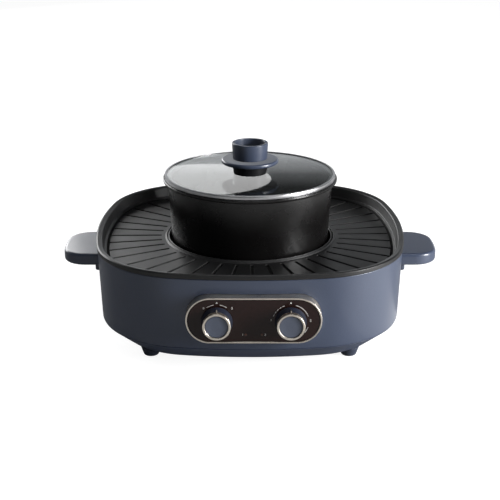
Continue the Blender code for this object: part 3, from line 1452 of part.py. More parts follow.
def round_the_well(start, end, turn_degrees):
    """A wire's route: straight out of each end, and round the pot's well in between."""
    (start_x, start_y, start_z), (end_x, end_y, end_z) = start, end
    start_way = -math.copysign(WIRE_LEAD, start_y)
    end_way = -math.copysign(WIRE_LEAD, end_y) if end_y < 0 else WIRE_LEAD
    turns = arc((0, 0), WIRE_RING_RADIUS, *turn_degrees, WIRE_RING_STEPS)
    ring = [
        (x, y, between(start_z, end_z, (i + 1) / (WIRE_RING_STEPS + 2)))
        for i, (x, y) in enumerate(turns)
    ]
    first = (start_x, start_y + start_way, start_z)
    last = (end_x, end_y + end_way, end_z)
    return [start, *smoothed([first, *ring, last], WIRE_SMOOTHING), end]


def wires(root):
    """Live to the grill's thermostat, and the pot element's two leads."""
    pin_y = INLET_FACE - INLET_DEPTH - PIN_TAIL - GAP
    pin_z = INLET_Z - PIN_RAISE / 2
    behind = PANEL_BASE_BACK + THERMOSTAT_DEPTH + TERMINAL_LENGTH + 2 * GAP
    terminal_y = -PANEL_FRONT + behind
    terminal_x = (DIAL_SPACING + TERMINAL_SPACING) / 2
    element_y = POT_ELEMENT_REACH + GAP
    element_z = HEATER_BOTTOM - GAP - POT_ELEMENT_TUBE
    element_x = ELEMENT_END_SPACING / 2
    live_pin = (INLET_X + PIN_SPREAD, pin_y, pin_z)
    neutral_pin = (INLET_X - PIN_SPREAD, pin_y, pin_z)
    grill_terminal = (PANEL_X + terminal_x, terminal_y, DIAL_Z)
    pot_terminal = (PANEL_X - terminal_x, terminal_y, DIAL_Z)
    live = round_the_well(live_pin, grill_terminal, LIVE_WIRE_DEGREES)
    tube("wire_live", live, WIRE_RADIUS, root, "red_sleeve")
    left_end = (-element_x, element_y, element_z)
    switched = round_the_well(pot_terminal, left_end, SWITCHED_WIRE_DEGREES)
    tube("wire_pot_element", switched, WIRE_RADIUS, root, "white_sleeve")
    out_of_pin = (neutral_pin[0], pin_y - WIRE_LEAD, pin_z)
    into_element = (element_x, element_y + WIRE_LEAD, element_z)
    drop_x = between(neutral_pin[0], element_x, WIRE_DROP_SHARE)
    drop_z = between(pin_z, element_z, WIRE_DROP_SHARE)
    drop = (drop_x, WIRE_RING_RADIUS, drop_z)
    down = smoothed([out_of_pin, drop, into_element], 2 * WIRE_SMOOTHING)
    neutral = [neutral_pin, *down, (element_x, element_y, element_z)]
    tube("wire_neutral", neutral, WIRE_RADIUS, root, "white_sleeve")


def build():
    clear_scene()
    root = empty("hot_pot_grill", None, (0, CENTRE_Y, 0))
    outer_housing(root)
    base_cover(root)
    for name, (side, end) in CORNERS.items():
        foot(root, name, side, end)
    base_screws(root)
    for name, side in SIDES.items():
        handle(root, name, side)
    handle_screws(root)
    heater_tray(root)
    pot_heater_plate(root)
    pot_heating_element(root)
    sensor(root, empty("sensor_press", root))
    thermal_fuse(root)
    heat_reflector(root)
    grill_heating_element(root)
    frame = control_panel(root)
    for name, side in SIDES.items():
        place = (side * DIAL_SPACING / 2, -DIAL_DROP, 0)
        dial(empty(f"knob_{name}_spin", frame, place), name)
    for name, side in {"pot": -1, "grill": 1}.items():
        thermostat(frame, name, side)
    power_inlet(root)
    wires(root)
    grill_pan(empty("grill_pan_lift", root))
    pot_lift = empty("pot_lift", root)
    pot(pot_lift)
    lid(empty("lid_lift", pot_lift))


build()
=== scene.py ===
import itertools
import math

import bpy
import numpy as np
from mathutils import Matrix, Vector


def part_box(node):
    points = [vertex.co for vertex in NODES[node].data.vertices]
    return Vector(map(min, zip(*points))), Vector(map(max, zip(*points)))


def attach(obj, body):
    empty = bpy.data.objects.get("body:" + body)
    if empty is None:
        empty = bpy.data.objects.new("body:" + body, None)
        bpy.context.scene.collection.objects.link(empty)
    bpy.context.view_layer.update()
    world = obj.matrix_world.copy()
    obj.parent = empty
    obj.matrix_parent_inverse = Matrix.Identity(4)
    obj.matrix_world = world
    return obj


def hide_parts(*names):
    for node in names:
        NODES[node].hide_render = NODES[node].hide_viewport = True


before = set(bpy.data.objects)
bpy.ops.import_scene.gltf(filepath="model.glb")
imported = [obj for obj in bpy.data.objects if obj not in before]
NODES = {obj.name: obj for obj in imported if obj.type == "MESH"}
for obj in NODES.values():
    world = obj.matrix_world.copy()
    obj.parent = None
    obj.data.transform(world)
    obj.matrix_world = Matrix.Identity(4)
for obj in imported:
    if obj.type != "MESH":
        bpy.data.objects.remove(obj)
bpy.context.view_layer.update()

bl_info = {
    "name": "Hot pot grill",
    "version": (1, 0, 0),
    "blender": (4, 5, 0),
    "location": "3D Viewport > Sidebar > Hot pot grill",
    "description": "Builds the visual model and the studio of a countertop hot pot grill",
    "category": "Add Mesh",
}

# Millimetres to metres
MM = 0.001

# Edges sharper than this show as edges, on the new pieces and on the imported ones
SHARP_DEGREES = 34.0
NODE_SHARP_DEGREES = 35.0

# How strongly large faces pull the shading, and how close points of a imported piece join
FACE_WEIGHT = 60
WELD_REACH = 1e-6

# No inset makes a round corner's radius smaller than this
LEAST_CORNER = 0.15

# Sides of the pieces that come in pairs and fours, as signs of x and of x and y
SIDES = {"left": -1, "right": 1}
ENDS = {"front": -1, "back": 1}
CORNERS = {f"{end}_{side}": (x, y) for end, y in ENDS.items() for side, x in SIDES.items()}

# The pan is even about its middle, which lies a little behind the origin
CENTRE_Y = sum(corner.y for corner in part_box("grill_pan")) / 2 / MM

# The pan's outline: arcs as centre x, centre y and radius, and the angles where they meet
SIDE_ARC = (-248.0, 0.0, 420.0)
BACK_ARC = (0.0, -351.5, 520.0)
CORNER_ARC = (61.44, 58.93, 105.0)
SIDE_ANGLE = 10.78
BACK_ANGLE = 81.49

# Heights above the table
FOOT_TOP = 10.4
BASE_BOTTOM = 10.7
BASE_FLOOR = 13.2
CREASE = 30.0
HOUSING_BOTTOM = 30.3
HOUSING_FLOOR = 32.9
HOUSING_TOP = 107.2
PAN_UNDER = 94.5
PLATE = 99.0
RIM_TOP = 113.0
HANDLE_TOP = 89.5
POT_BOTTOM = 40.0
POT_TOP = 168.6
GLASS_BOTTOM = 169.7
GLASS_TOP = 172.3
KNOB_BASE = 172.6
FLANGE_BOTTOM = 184.4
GRIP_BOTTOM = 189.2
GRIP_TOP = 207.4

# The two notches in the knob's rim: depth, and where their slopes start and end
NOTCH_DEPTH = 1.2
NOTCH_EDGE = (4.0, 4.7)

# Feet, screw wells and rows of vents, at these places on both sides of the middle
FOOT_X, FOOT_Y = 106.5, 109.0
WELL_X, WELL_Y, WELL_RADIUS = 132.0, 55.0, 3.7
VENTS, VENT_STEP, VENT_Y = 5, 11.0, 102.0

# The plate ends this far inside the pan's outline
PLATE_INSET = 14.0

# Rings in the pan round the pot: radii, then heights
HOLE = 91.75
RING_FOOT = 96.6
COLLAR_BOTTOM = 90.0
VALLEY = 99.1
LEDGE = 100.2
CREST = 101.1

# Grooves in the plate: their number, turn and first radius, and the width of their edges
GROOVES = 40
GROOVE_TURN = math.radians(1.2)
GROOVE_START = 101.0
GROOVE_EDGE = 0.3

# Points on each arc of the outline and the radius that match it with the pan's columns
MATCH_STEPS = 700
MATCH_RADIUS = 150.0

# Panel, in its own frame with z pointing out of it
PANEL_X = 3.8
PANEL_Z = 67.5
PANEL_FRONT = 177.454
PANEL_SIZE = (137.5, 49.0)
DIAL_X, DIAL_Y = 37.1, -1.0
DIAL_STEPS = 128
POINTER_Z = 6.1
LAMP_X, LAMP_Y = 8.15, -15.2

# Inlet, in its own frame with z pointing out of the back
INLET_Z = 52.0
INLET_FACE = 169.488

# Camera: lens and the height in metres that it looks at
LENS = 79.2
AIM_HEIGHT = 0.0801


class HotPotGrillSettings(bpy.types.PropertyGroup):
    """Choices for the look that don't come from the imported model."""

    groove_width: bpy.props.FloatProperty(
        name="Groove width",
        description="Width of each groove in the grill plate",
        default=0.003,
        min=0.001,
        max=0.004,
        unit="LENGTH",
    )
    groove_depth: bpy.props.FloatProperty(
        name="Groove depth",
        description="Depth of each groove below the grill plate",
        default=0.0022,
        min=0.0005,
        max=0.003,
        unit="LENGTH",
    )
    round_steps: bpy.props.IntProperty(
        name="Round steps",
        description="Points round a turned piece",
        default=160,
        min=48,
        max=320,
    )
    outline_steps: bpy.props.IntProperty(
        name="Outline steps",
        description="Points along each arc of the pan's outline",
        default=26,
        min=8,
        max=60,
    )
    camera_elevation: bpy.props.FloatProperty(
        name="Camera elevation",
        description="How far above the horizon the camera stands",
        default=math.radians(19.59),
        subtype="ANGLE",
    )
    camera_distance: bpy.props.FloatProperty(
        name="Camera distance",
        description="Distance from the camera to the point that it looks at",
        default=1.266,
        unit="LENGTH",
    )
    light_share: bpy.props.FloatProperty(
        name="Light share",
        description="Scales the power of every studio light alike",
        default=1.0,
        min=0.1,
        max=4.0,
        subtype="FACTOR",
    )


def settings():
    """The scene's own settings of this add-on."""
    return bpy.context.scene.hot_pot_grill


def smooth_step(low, high, value):
    """0 below low, 1 above high, and t * t * (3 - 2 * t) in between."""
    t = np.clip((value - low) / (high - low), 0.0, 1.0)
    return t * t * (3.0 - 2.0 * t)


def rounded(profile, steps=5, closed=False):
    """Rounds a bent line: each corner (a, b, radius) turns into a curve of that radius.

    The curve is the quadratic one from the point before the corner to the point after it,
    each radius / tan(half the corner's angle) away from it. A point without a radius stays.
    """
    points = [tuple(p) if len(p) == 3 else (*p, 0.0) for p in profile]
    out = []
    for i, (x, y, radius) in enumerate(points):
        if radius == 0 or (not closed and i in (0, len(points) - 1)):
            out.append((x, y))
            continue
        here = np.array([x, y])
        before = np.array(points[i - 1][:2]) - here
        after = np.array(points[(i + 1) % len(points)][:2]) - here
        before_length, after_length = np.linalg.norm(before), np.linalg.norm(after)
        before, after = before / before_length, after / after_length
        half = math.acos(np.clip(before @ after, -1, 1)) / 2
        reach = min(radius / math.tan(half), 0.48 * before_length, 0.48 * after_length)
        for t in np.linspace(0, 1, steps + 1):
            share = (1 - t) ** 2 * before + t**2 * after
            out.append(tuple(here + reach * share))
    return np.array(out)


def cells(rows, columns, wrap_rows):
    """Corner numbers of the four-sided cells of a grid whose columns join up."""
    r = np.arange(rows if wrap_rows else rows - 1)
    r, c = np.meshgrid(r, np.arange(columns), indexing="ij")
    r_next, c_next = (r + 1) % rows, (c + 1) % columns
    corners = ((r, c), (r, c_next), (r_next, c_next), (r_next, c))
    return np.stack([row * columns + column for row, column in corners], -1).reshape(-1, 4)


def volume(points, faces):
    """Six times the volume that the faces enclose, as a sum over fans of triangles."""
    total = 0.0
    for group in faces:
        first = points[group[:, 0]]
        for k in range(1, group.shape[1] - 1):
            cross = np.cross(points[group[:, k]], points[group[:, k + 1]])
            total += np.einsum("ij,ij->", first, cross)
    return total


def add_object(name, data):
    """A new object in the scene."""
    made = bpy.data.objects.new(name, data)
    bpy.context.scene.collection.objects.link(made)
    return made


def mesh_object(name, points, faces, marks=None):
    """One smooth-shaded object from points in metres and groups of faces, facing out.

    marks is a map from an attribute's name to its value at every point.
    """
    if volume(points, faces) < 0:
        faces = [group[:, ::-1] for group in faces]
    corners = np.concatenate([group.ravel() for group in faces]).astype(np.int32)
    sizes = np.concatenate([np.full(len(group), group.shape[1]) for group in faces])
    starts = np.concatenate([[0], np.cumsum(sizes)[:-1]]).astype(np.int32)
    mesh = bpy.data.meshes.new(name)
    mesh.vertices.add(len(points))
    mesh.vertices.foreach_set("co", points.astype(np.float32).ravel())
    mesh.loops.add(len(corners))
    mesh.loops.foreach_set("vertex_index", corners)
    mesh.polygons.add(len(sizes))
    mesh.polygons.foreach_set("loop_start", starts)
    mesh.polygons.foreach_set("use_smooth", np.ones(len(sizes), bool))
    for key, values in (marks or {}).items():
        mark = mesh.attributes.new(key, "FLOAT", "POINT")
        mark.data.foreach_set("value", values.astype(np.float32))
    mesh.update(calc_edges=True)
    mesh.validate()
    return add_object(name, mesh)


def solid(name, grid, capped=False, marks=None):
    """A closed body from a grid of points (rows, columns, 3) in millimetres.

    Columns always join up. One face closes each end row of a capped body, and without caps
    the rows join up too, as on a ring.
    """
    rows, columns = grid.shape[:2]
    faces = [cells(rows, columns, not capped)]
    if capped:
        numbers = np.arange(rows * columns).reshape(rows, columns)
        faces += [numbers[:1, ::-1], numbers[-1:]]
    return mesh_object(name, grid.reshape(-1, 3) * MM, faces, marks)


def panel_place(grid):
    """Panel frame to millimetres in the world: z points to the front, y up."""
    x, y, z = np.moveaxis(grid, -1, 0)
    return np.stack([PANEL_X + x, CENTRE_Y - PANEL_FRONT - z, PANEL_Z + y], -1)


def inlet_place(grid):
    """Inlet frame to millimetres in the world: z points to the back, y up."""
    x, y, z = np.moveaxis(grid, -1, 0)
    return np.stack([-x, CENTRE_Y + INLET_FACE + z, INLET_Z + y], -1)


def stand_place(x=0.0, y=0.0):
    """Places an upright piece's axis at this point of the table."""
    return lambda grid: grid + np.array([x, CENTRE_Y + y, 0.0])


def turned(profile, steps=None, centre=(0.0, 0.0)):
    """Grid of a turned piece: each (radius, height) goes once round the z axis."""
    angles = np.linspace(0, math.tau, steps or settings().round_steps, endpoint=False)
    radius, height = np.array(profile)[:, :1], np.array(profile)[:, 1:]
    x, y = centre[0] + radius * np.cos(angles), centre[1] + radius * np.sin(angles)
    return np.stack([x, y, np.broadcast_to(height, x.shape)], -1)


def lathe(name, profile, place, steps=None, centre=(0.0, 0.0)):
    """A turned body. A profile that starts and ends on the axis closes in two tips."""
    line = np.array(profile)
    if line[0][0] > 0:
        return solid(name, place(turned(line, steps, centre)))
    tips = np.array([[*centre, line[0][1]], [*centre, line[-1][1]]])
    return tipped(name, place(turned(line[1:-1], steps, centre)), place(tips))


def tipped(name, grid, tips):
    """A closed body from a grid whose first and last rows close in one point each."""
    rows, columns = grid.shape[:2]
    points = np.concatenate([grid.reshape(-1, 3), tips])
    faces = [cells(rows, columns, False)]
    for end, tip in ((0, rows * columns), (rows - 1, rows * columns + 1)):
        row = end * columns + np.arange(columns)
        row = row[::-1] if end == 0 else row
        faces.append(np.stack([row, np.roll(row, -1), np.full(columns, tip)], -1))
    return mesh_object(name, points * MM, faces)


def arc_points(centre_x, centre_y, radius, start, end, steps, last=True):
    """Points (x, y) on an arc and the directions away from its centre, angles in degrees."""
    angles = np.radians(np.linspace(start, end, steps, endpoint=last))
    away = np.stack([np.cos(angles), np.sin(angles)], -1)
    return np.array([centre_x, centre_y]) + radius * away, away


def outline_arrays(steps):
    """Points of the pan's outline and the directions out of it, once round from the right."""
    x, y, corner = CORNER_ARC
    side_x, _, side = SIDE_ARC
    _, back_y, back = BACK_ARC
    a, b = SIDE_ANGLE, BACK_ANGLE
    arcs = [
        (side_x, 0, side, 0, a), (x, y, corner, a, b), (0, back_y, back, b, 180 - b),
        (-x, y, corner, 180 - b, 180 - a), (-side_x, 0, side, 180 - a, 180 + a),
        (-x, -y, corner, 180 + a, 180 + b), (0, -back_y, back, 180 + b, 360 - b),
        (x, -y, corner, 360 - b, 360 - a), (side_x, 0, side, 360 - a, 360),
    ]
    counts = [steps // 2, *[steps] * 7, steps // 2]
    parts = [arc_points(*arc, count, last=False) for arc, count in zip(arcs, counts)]
    points, away = zip(*parts)
    return np.concatenate(points), np.concatenate(away)


def pan_loop():
    """Function that gives the pan's outline drawn in by an inset."""
    points, away = outline_arrays(settings().outline_steps)
    return lambda inset: points - inset * away


def rounded_box_loop(width, height, corner, steps=12):
    """Function that gives a rectangle with round corners, drawn in by an inset."""

    def loop(inset):
        radius = max(corner - inset, LEAST_CORNER)
        x, y = width / 2 - inset - radius, height / 2 - inset - radius
        corners = [(x, y, 0), (-x, y, 90), (-x, -y, 180), (x, -y, 270)]
        parts = [arc_points(cx, cy, radius, a, a + 90, steps)[0] for cx, cy, a in corners]
        return np.concatenate(parts)

    return loop


def at_height(points, z):
    """Flat points at one height."""
    return np.column_stack([points, np.full(len(points), z)])


def swept(loop, profile):
    """Grid of a profile that runs round a loop: row i is the loop at its inset and height."""
    return np.stack([at_height(loop(inset), z) for inset, z in profile])


def swept_solid(name, place, loop, profile, capped=False):
    """A body whose profile, given by its corners, runs round a loop."""
    return solid(name, place(swept(loop, rounded(profile, closed=not capped))), capped)


def prism(outline, low, high):
    """Points and faces of a flat shape with straight walls."""
    count = len(outline)
    points = np.concatenate([at_height(outline, low), at_height(outline, high)])
    ring = np.arange(count)
    walls = np.stack([ring, np.roll(ring, -1), np.roll(ring, -1) + count, ring + count], -1)
    return points, [walls, ring[::-1][None, :], ring[None, :] + count]


def carve(body, cutters):
    """Cuts the room of each cutter out of the body and removes the cutters."""
    for cutter in cutters:
        change = body.modifiers.new("cut", "BOOLEAN")
        change.object = cutter
        change.solver = "EXACT"
    graph = bpy.context.evaluated_depsgraph_get()
    mesh = bpy.data.meshes.new_from_object(body.evaluated_get(graph))
    body.modifiers.clear()
    body.data = mesh
    for cutter in cutters:
        bpy.data.objects.remove(cutter)


def finish_piece(made, body, look, nodes=()):
    """Gives a piece its material and body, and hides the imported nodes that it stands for."""
    made.data.materials.clear()
    made.data.materials.append(look)
    made.data.set_sharp_from_angle(angle=math.radians(SHARP_DEGREES))
    weights = made.modifiers.new("face_weights", "WEIGHTED_NORMAL")
    weights.keep_sharp = True
    weights.weight = FACE_WEIGHT
    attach(made, body)
    if nodes:
        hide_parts(*nodes)
    return made


def linear(red, green, blue):
    """Linear colour of a colour given as 0 to 255 on a screen."""
    values = [v / 255 for v in (red, green, blue)]
    return (*[v / 12.92 if v <= 0.04045 else ((v + 0.055) / 1.055) ** 2.4 for v in values], 1.0)


def node(tree, kind, links=None, **values):
    """A node with plain settings as keywords and a map from its inputs to values or sockets."""
    made = tree.nodes.new(kind)
    for key, value in values.items():
        setattr(made, key, value)
    for key, value in (links or {}).items():
        socket = made.inputs[key]
        if isinstance(value, bpy.types.NodeSocket):
            tree.links.new(value, socket)
        else:
            socket.default_value = value
    return made


def noise(tree, place, scale, detail):
    """Noise between 0 and 1 at a place."""
    links = {"Vector": place, "Scale": scale, "Detail": detail}
    return node(tree, "ShaderNodeTexNoise", links).outputs["Fac"]


def ranged(tree, value, low, high, to_low=0.0, to_high=1.0):
    """A value moved from one range to another and held at its ends."""
    links = {"Value": value, "From Min": low, "From Max": high, "To Min": to_low, "To Max": to_high}
    return node(tree, "ShaderNodeMapRange", links).outputs[0]


def blended(tree, factor, a, b, **values):
    """What lies at this share of the way from a to b. They are colours unless values say more."""
    links = {"Factor": factor, "A": a, "B": b}
    return node(tree, "ShaderNodeMix", links, **(values or {"data_type": "RGBA"})).outputs["Result"]


def computed(tree, kind, operation, first, second=None):
    """What a Math or VectorMath node gives for these inputs."""
    links = {0: first} if second is None else {0: first, 1: second}
    made = node(tree, f"ShaderNode{kind}", links, operation=operation)
    return next(socket for socket in made.outputs if socket.enabled)


FLOAT, COLOUR, VECTOR = "NodeSocketFloat", "NodeSocketColor", "NodeSocketVector"
GROUP_INPUTS = {"Scale": FLOAT, "Dark": COLOUR, "Light": COLOUR, "Smooth": FLOAT, "Rough": FLOAT}
GROUP_OUTPUTS = {"Color": COLOUR, "Roughness": FLOAT, "Height": FLOAT}


# Where most values of one noise lie, and of the product of two
NOISE_SPAN = (0.3, 0.7)
PRODUCT_SPAN = (0.12, 0.4)

# Distance over which a fleck fades in, and values of the noise that let some flecks through
FLECK_EDGE = (0.28, 0.1)
FLECK_SHARE = (0.55, 0.68)

# Painted shade in the grooves, the ring's valley and the moat: a near-black colour there, with a
# duller roughness
GROOVE_SHADE_COLOUR = (0.0015, 0.0015, 0.0015, 1)
GROOVE_DULL_ROUGHNESS = 0.85


def open_group(name, **extra):
    """An empty shader group, its input sockets and the object's coordinates in it."""
    tree = bpy.data.node_groups.new(name, "ShaderNodeTree")
    for socket, kind in {**GROUP_INPUTS, **extra}.items():
        tree.interface.new_socket(socket, in_out="INPUT", socket_type=kind)
    for socket, kind in GROUP_OUTPUTS.items():
        tree.interface.new_socket(socket, in_out="OUTPUT", socket_type=kind)
    start = tree.nodes.new("NodeGroupInput").outputs
    return tree, start, node(tree, "ShaderNodeTexCoord").outputs["Object"]


def close_group(tree, *results):
    """Links a group's colour, roughness and height to its output."""
    node(tree, "NodeGroupOutput", dict(zip(GROUP_OUTPUTS, results)))
    return tree


def grain_group():
    """Fine grain over slow patches: colour and roughness between two values, and a height."""
    tree, start, place = open_group("fine_grain", Patches=FLOAT)
    fine = noise(tree, place, start["Scale"], 3.0)
    slow = noise(tree, place, start["Patches"], 4.0)
    spread = ranged(tree, computed(tree, "Math", "MULTIPLY", fine, slow), *PRODUCT_SPAN)
    colour = blended(tree, spread, start["Dark"], start["Light"])
    rough = ranged(tree, slow, *NOISE_SPAN, start["Smooth"], start["Rough"])
    return close_group(tree, colour, rough, fine)


def fleck_group():
    """A coating with sparse lighter flecks and a slightly uneven sprayed surface.

    The attribute "groove" is 1 in the grooves, the ring's valley and the moat: painted shade turns
    the coating near black there, and it is duller too.
    """
    tree, start, place = open_group("coating_flecks")
    dots = node(tree, "ShaderNodeTexVoronoi", {"Vector": place, "Scale": start["Scale"]})
    near = ranged(tree, dots.outputs["Distance"], *FLECK_EDGE)
    some = ranged(tree, noise(tree, place, start["Scale"], 1.0), *FLECK_SHARE)
    mask = computed(tree, "Math", "MULTIPLY", near, some)
    colour = blended(tree, mask, start["Dark"], start["Light"])
    slow = noise(tree, place, 30.0, 5.0)
    rough = ranged(tree, slow, *NOISE_SPAN, start["Smooth"], start["Rough"])
    groove = node(tree, "ShaderNodeAttribute", attribute_name="groove").outputs["Fac"]
    # Painted shade: the marked places turn near black and duller
    painted_shade = blended(tree, groove, colour, GROOVE_SHADE_COLOUR)
    dull = blended(tree, groove, rough, GROOVE_DULL_ROUGHNESS, data_type="FLOAT")
    return close_group(tree, painted_shade, dull, noise(tree, place, 520.0, 2.0))


def lines_group():
    """Fine turned lines round an axis: noise that changes with the distance from the axis.

    Centre is a point on the axis, and Across masks the two directions across it with ones.
    """
    tree, start, place = open_group("turned_lines", Centre=VECTOR, Across=VECTOR)
    moved = computed(tree, "VectorMath", "SUBTRACT", place, start["Centre"])
    across = computed(tree, "VectorMath", "MULTIPLY", moved, start["Across"])
    reach = computed(tree, "VectorMath", "LENGTH", across)
    along = computed(tree, "VectorMath", "SUBTRACT", moved, across)
    depth = computed(tree, "VectorMath", "DOT_PRODUCT", along, (1, 1, 1))
    total = computed(tree, "Math", "ADD", reach, depth)
    links = {"W": total, "Scale": start["Scale"], "Detail": 2.0}
    lines = node(tree, "ShaderNodeTexNoise", links, noise_dimensions="1D").outputs["Fac"]
    slow = noise(tree, place, 40.0, 3.0)
    spread = ranged(tree, computed(tree, "Math", "MULTIPLY", lines, slow), *PRODUCT_SPAN)
    colour = blended(tree, spread, start["Dark"], start["Light"])
    rough = ranged(tree, spread, 0.0, 1.0, start["Smooth"], start["Rough"])
    return close_group(tree, colour, rough, lines)


GROUPS = {"fine_grain": grain_group, "coating_flecks": fleck_group, "turned_lines": lines_group}


def new_material(name):
    """A new material, its nodes and its surface shader."""
    made = bpy.data.materials.new(name)
    made.use_nodes = True
    return made, made.node_tree, made.node_tree.nodes["Principled BSDF"]


def shared_look(name, group, finish, bump, inputs, shader):
    """A material whose colour, roughness and bump come from a shared group.

    finish is the dark and the light colour, as 0 to 255 on a screen, and the least and the
    most roughness. bump is its depth and strength. inputs are the group's other values, and
    shader the plain values on the shader's own sockets, with _ for the spaces in their names.
    """
    if name in bpy.data.materials:
        return bpy.data.materials[name]
    made, tree, surface = new_material(name)
    for key, value in shader.items():
        surface.inputs[key.replace("_", " ")].default_value = value
    shared = tree.nodes.new("ShaderNodeGroup")
    shared.node_tree = bpy.data.node_groups.get(group) or GROUPS[group]()
    dark, light, smooth, rough = finish
    tones = {"Dark": linear(*dark), "Light": linear(*light), "Smooth": smooth, "Rough": rough}
    for key, value in {**tones, **inputs}.items():
        shared.inputs[key].default_value = value
    tree.links.new(shared.outputs["Color"], surface.inputs["Base Color"])
    tree.links.new(shared.outputs["Roughness"], surface.inputs["Roughness"])
    links = {"Height": shared.outputs["Height"], "Distance": bump[0], "Strength": bump[1]}
    normal = node(tree, "ShaderNodeBump", links).outputs["Normal"]
    tree.links.new(normal, surface.inputs["Normal"])
    return made


def grained(name, scale=900.0, depth=0.00003, **shader):
    """A plain finish with fine grain over slow patches."""
    inputs, bump = {"Scale": scale, "Patches": PATCH_SCALE}, (depth, BUMP_STRENGTH)
    return shared_look(name, "fine_grain", FINISHES[name], bump, inputs, shader)


def flecked(name, depth=0.00004):
    """A coating with light flecks."""
    inputs, bump = {"Scale": FLECK_SCALE}, (depth, BUMP_STRENGTH)
    return shared_look(name, "coating_flecks", FINISHES[name], bump, inputs, {})


def lined(name, finish, centre, across):
    """Turned metal, with its lines round the axis through this centre in metres."""
    inputs, bump = {"Scale": LINE_SCALE, "Centre": centre, "Across": across}, (0.00001, 0.25)
    return shared_look(name, "turned_lines", FINISHES[finish], bump, inputs, {"Metallic": 1.0})


def champagne(name, x, y):
    """The pale metal of the panel's rim and rings, turned round this point of the panel."""
    centre = tuple(panel_place(np.array([x, y, 0.0])) * MM)
    return lined(name, "champagne", centre, (1, 0, 1))


def glass_look():
    """Clear glass with a trace of smoke, and faint unevenness in its polish."""
    made, tree, surface = new_material("lid_glass_clear")
    surface.inputs["Transmission Weight"].default_value = 1.0
    surface.inputs["IOR"].default_value = 1.6
    place = node(tree, "ShaderNodeTexCoord").outputs["Object"]
    slow = noise(tree, place, 22.0, 3.0)
    tint = blended(tree, slow, linear(206, 210, 210), linear(222, 226, 226))
    tree.links.new(tint, surface.inputs["Base Color"])
    tree.links.new(ranged(tree, slow, 0.0, 1.0, 0.0, 0.03), surface.inputs["Roughness"])
    return made


# Scales of the groups' slow patches, flecks and lines, and the bump's usual strength
PATCH_SCALE = 14.0
FLECK_SCALE = 1400.0
LINE_SCALE = 9000.0
BUMP_STRENGTH = 0.35

# Finishes: dark and light colour as 0 to 255 on a screen, least and most roughness
FINISHES = {
    "slate_gloss_paint": ((53, 61, 79), (59, 67, 85), 0.3, 0.4),
    "base_slate_plastic": ((55, 64, 85), (61, 70, 92), 0.38, 0.48),
    "foot_rubber": ((42, 48, 64), (50, 56, 72), 0.5, 0.66),
    "grill_coating_flecks": ((12, 12, 13), (34, 34, 38), 0.38, 0.48),
    "pot_coating_flecks": ((8, 7, 7), (22, 20, 20), 0.24, 0.32),
    "lid_steel_turned": ((190, 190, 192), (216, 216, 218), 0.26, 0.38),
    "black_moulding": ((14, 14, 16), (22, 22, 25), 0.3, 0.42),
    "champagne": ((214, 205, 192), (234, 226, 214), 0.26, 0.42),
    "panel_brown_gloss": ((31, 18, 15), (36, 22, 20), 0.1, 0.18),
    "dial_navy_plastic": ((26, 30, 42), (33, 37, 49), 0.28, 0.38),
    "dial_cap_paint": ((70, 76, 90), (78, 84, 98), 0.34, 0.46),
    "dial_print": ((206, 204, 200), (226, 224, 220), 0.5, 0.6),
    "lamp_lens_amber": ((52, 24, 14), (74, 34, 18), 0.12, 0.2),
    "zinc_plate": ((150, 152, 156), (180, 182, 186), 0.3, 0.46),
    "cast_aluminium": ((150, 150, 150), (176, 176, 174), 0.42, 0.58),
    "element_tube": ((62, 58, 56), (88, 82, 78), 0.4, 0.56),
    "polished_steel": ((184, 184, 186), (206, 206, 208), 0.16, 0.28),
    "contact_brass": ((176, 146, 84), (204, 174, 110), 0.22, 0.36),
    "phenolic": ((92, 66, 42), (112, 84, 56), 0.5, 0.64),
    "red_wire_sleeve": ((120, 20, 16), (150, 30, 24), 0.46, 0.58),
    "white_wire_sleeve": ((186, 184, 176), (208, 206, 200), 0.5, 0.64),
    "seal_rubber": ((22, 22, 24), (30, 30, 32), 0.66, 0.8),
    "inner_black": ((18, 18, 20), (26, 26, 28), 0.4, 0.52),
}

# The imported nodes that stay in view, after their finish, scale of grain and metallic value
KEPT = (
    ("zinc_plate", 260.0, 1.0, "heater_tray", "heat_reflector", "pot_thermostat_nut",
     "grill_thermostat_nut", *(f"base_screw_{where}" for where in CORNERS),
     *(f"handle_screw_{where}" for where in CORNERS)),
    ("cast_aluminium", 700.0, 1.0, "pot_heater_plate", "sensor_head"),
    ("phenolic", 900.0, 0.0, "sensor_guide", "pot_thermostat", "grill_thermostat"),
    ("polished_steel", 800.0, 1.0, "sensor_spring", "lid_screw"),
    ("element_tube", 420.0, 1.0, "pot_heating_element", "grill_heating_element"),
    ("white_wire_sleeve", 900.0, 0.0, "thermal_fuse", "wire_neutral", "wire_pot_element"),
    ("red_wire_sleeve", 900.0, 0.0, "wire_live"),
    ("contact_brass", 600.0, 1.0, "knob_left_shaft", "knob_right_shaft", "inlet_pin_live",
     "inlet_pin_neutral", "inlet_pin_earth"),
    ("seal_rubber", 700.0, 0.0, "lid_washer"),
    ("inner_black", 900.0, 0.0, "panel_base"),
)

# The lid's reflection shows the studio without the knob, as in the photograph
UNMIRRORED = ("lid_screw", "lid_washer")


def slate_look():
    """The painted metal of the housing and its trim, under a thin clear coat."""
    return grained("slate_gloss_paint", Coat_Weight=0.2, Coat_Roughness=0.12)


def keep_node(name, look):
    """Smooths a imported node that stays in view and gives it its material."""
    held = NODES[name]
    held.data.polygons.foreach_set("use_smooth", np.ones(len(held.data.polygons), bool))
    weld = held.modifiers.new("weld", "WELD")
    weld.merge_threshold = WELD_REACH
    split = held.modifiers.new("edges", "EDGE_SPLIT")
    split.split_angle = math.radians(NODE_SHARP_DEGREES)
    held.data.materials.clear()
    held.data.materials.append(look)


class HOTPOT_OT_inner_parts(bpy.types.Operator):
    """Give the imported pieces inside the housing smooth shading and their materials."""

    bl_idname = "hot_pot_grill.inner_parts"
    bl_label = "Inner parts"

    def execute(self, context):
        for finish, scale, metallic, *names in KEPT:
            for name in names:
                keep_node(name, grained(finish, scale=scale, Metallic=metallic))
        for name in UNMIRRORED:
            NODES[name].visible_glossy = False
        return {"FINISHED"}


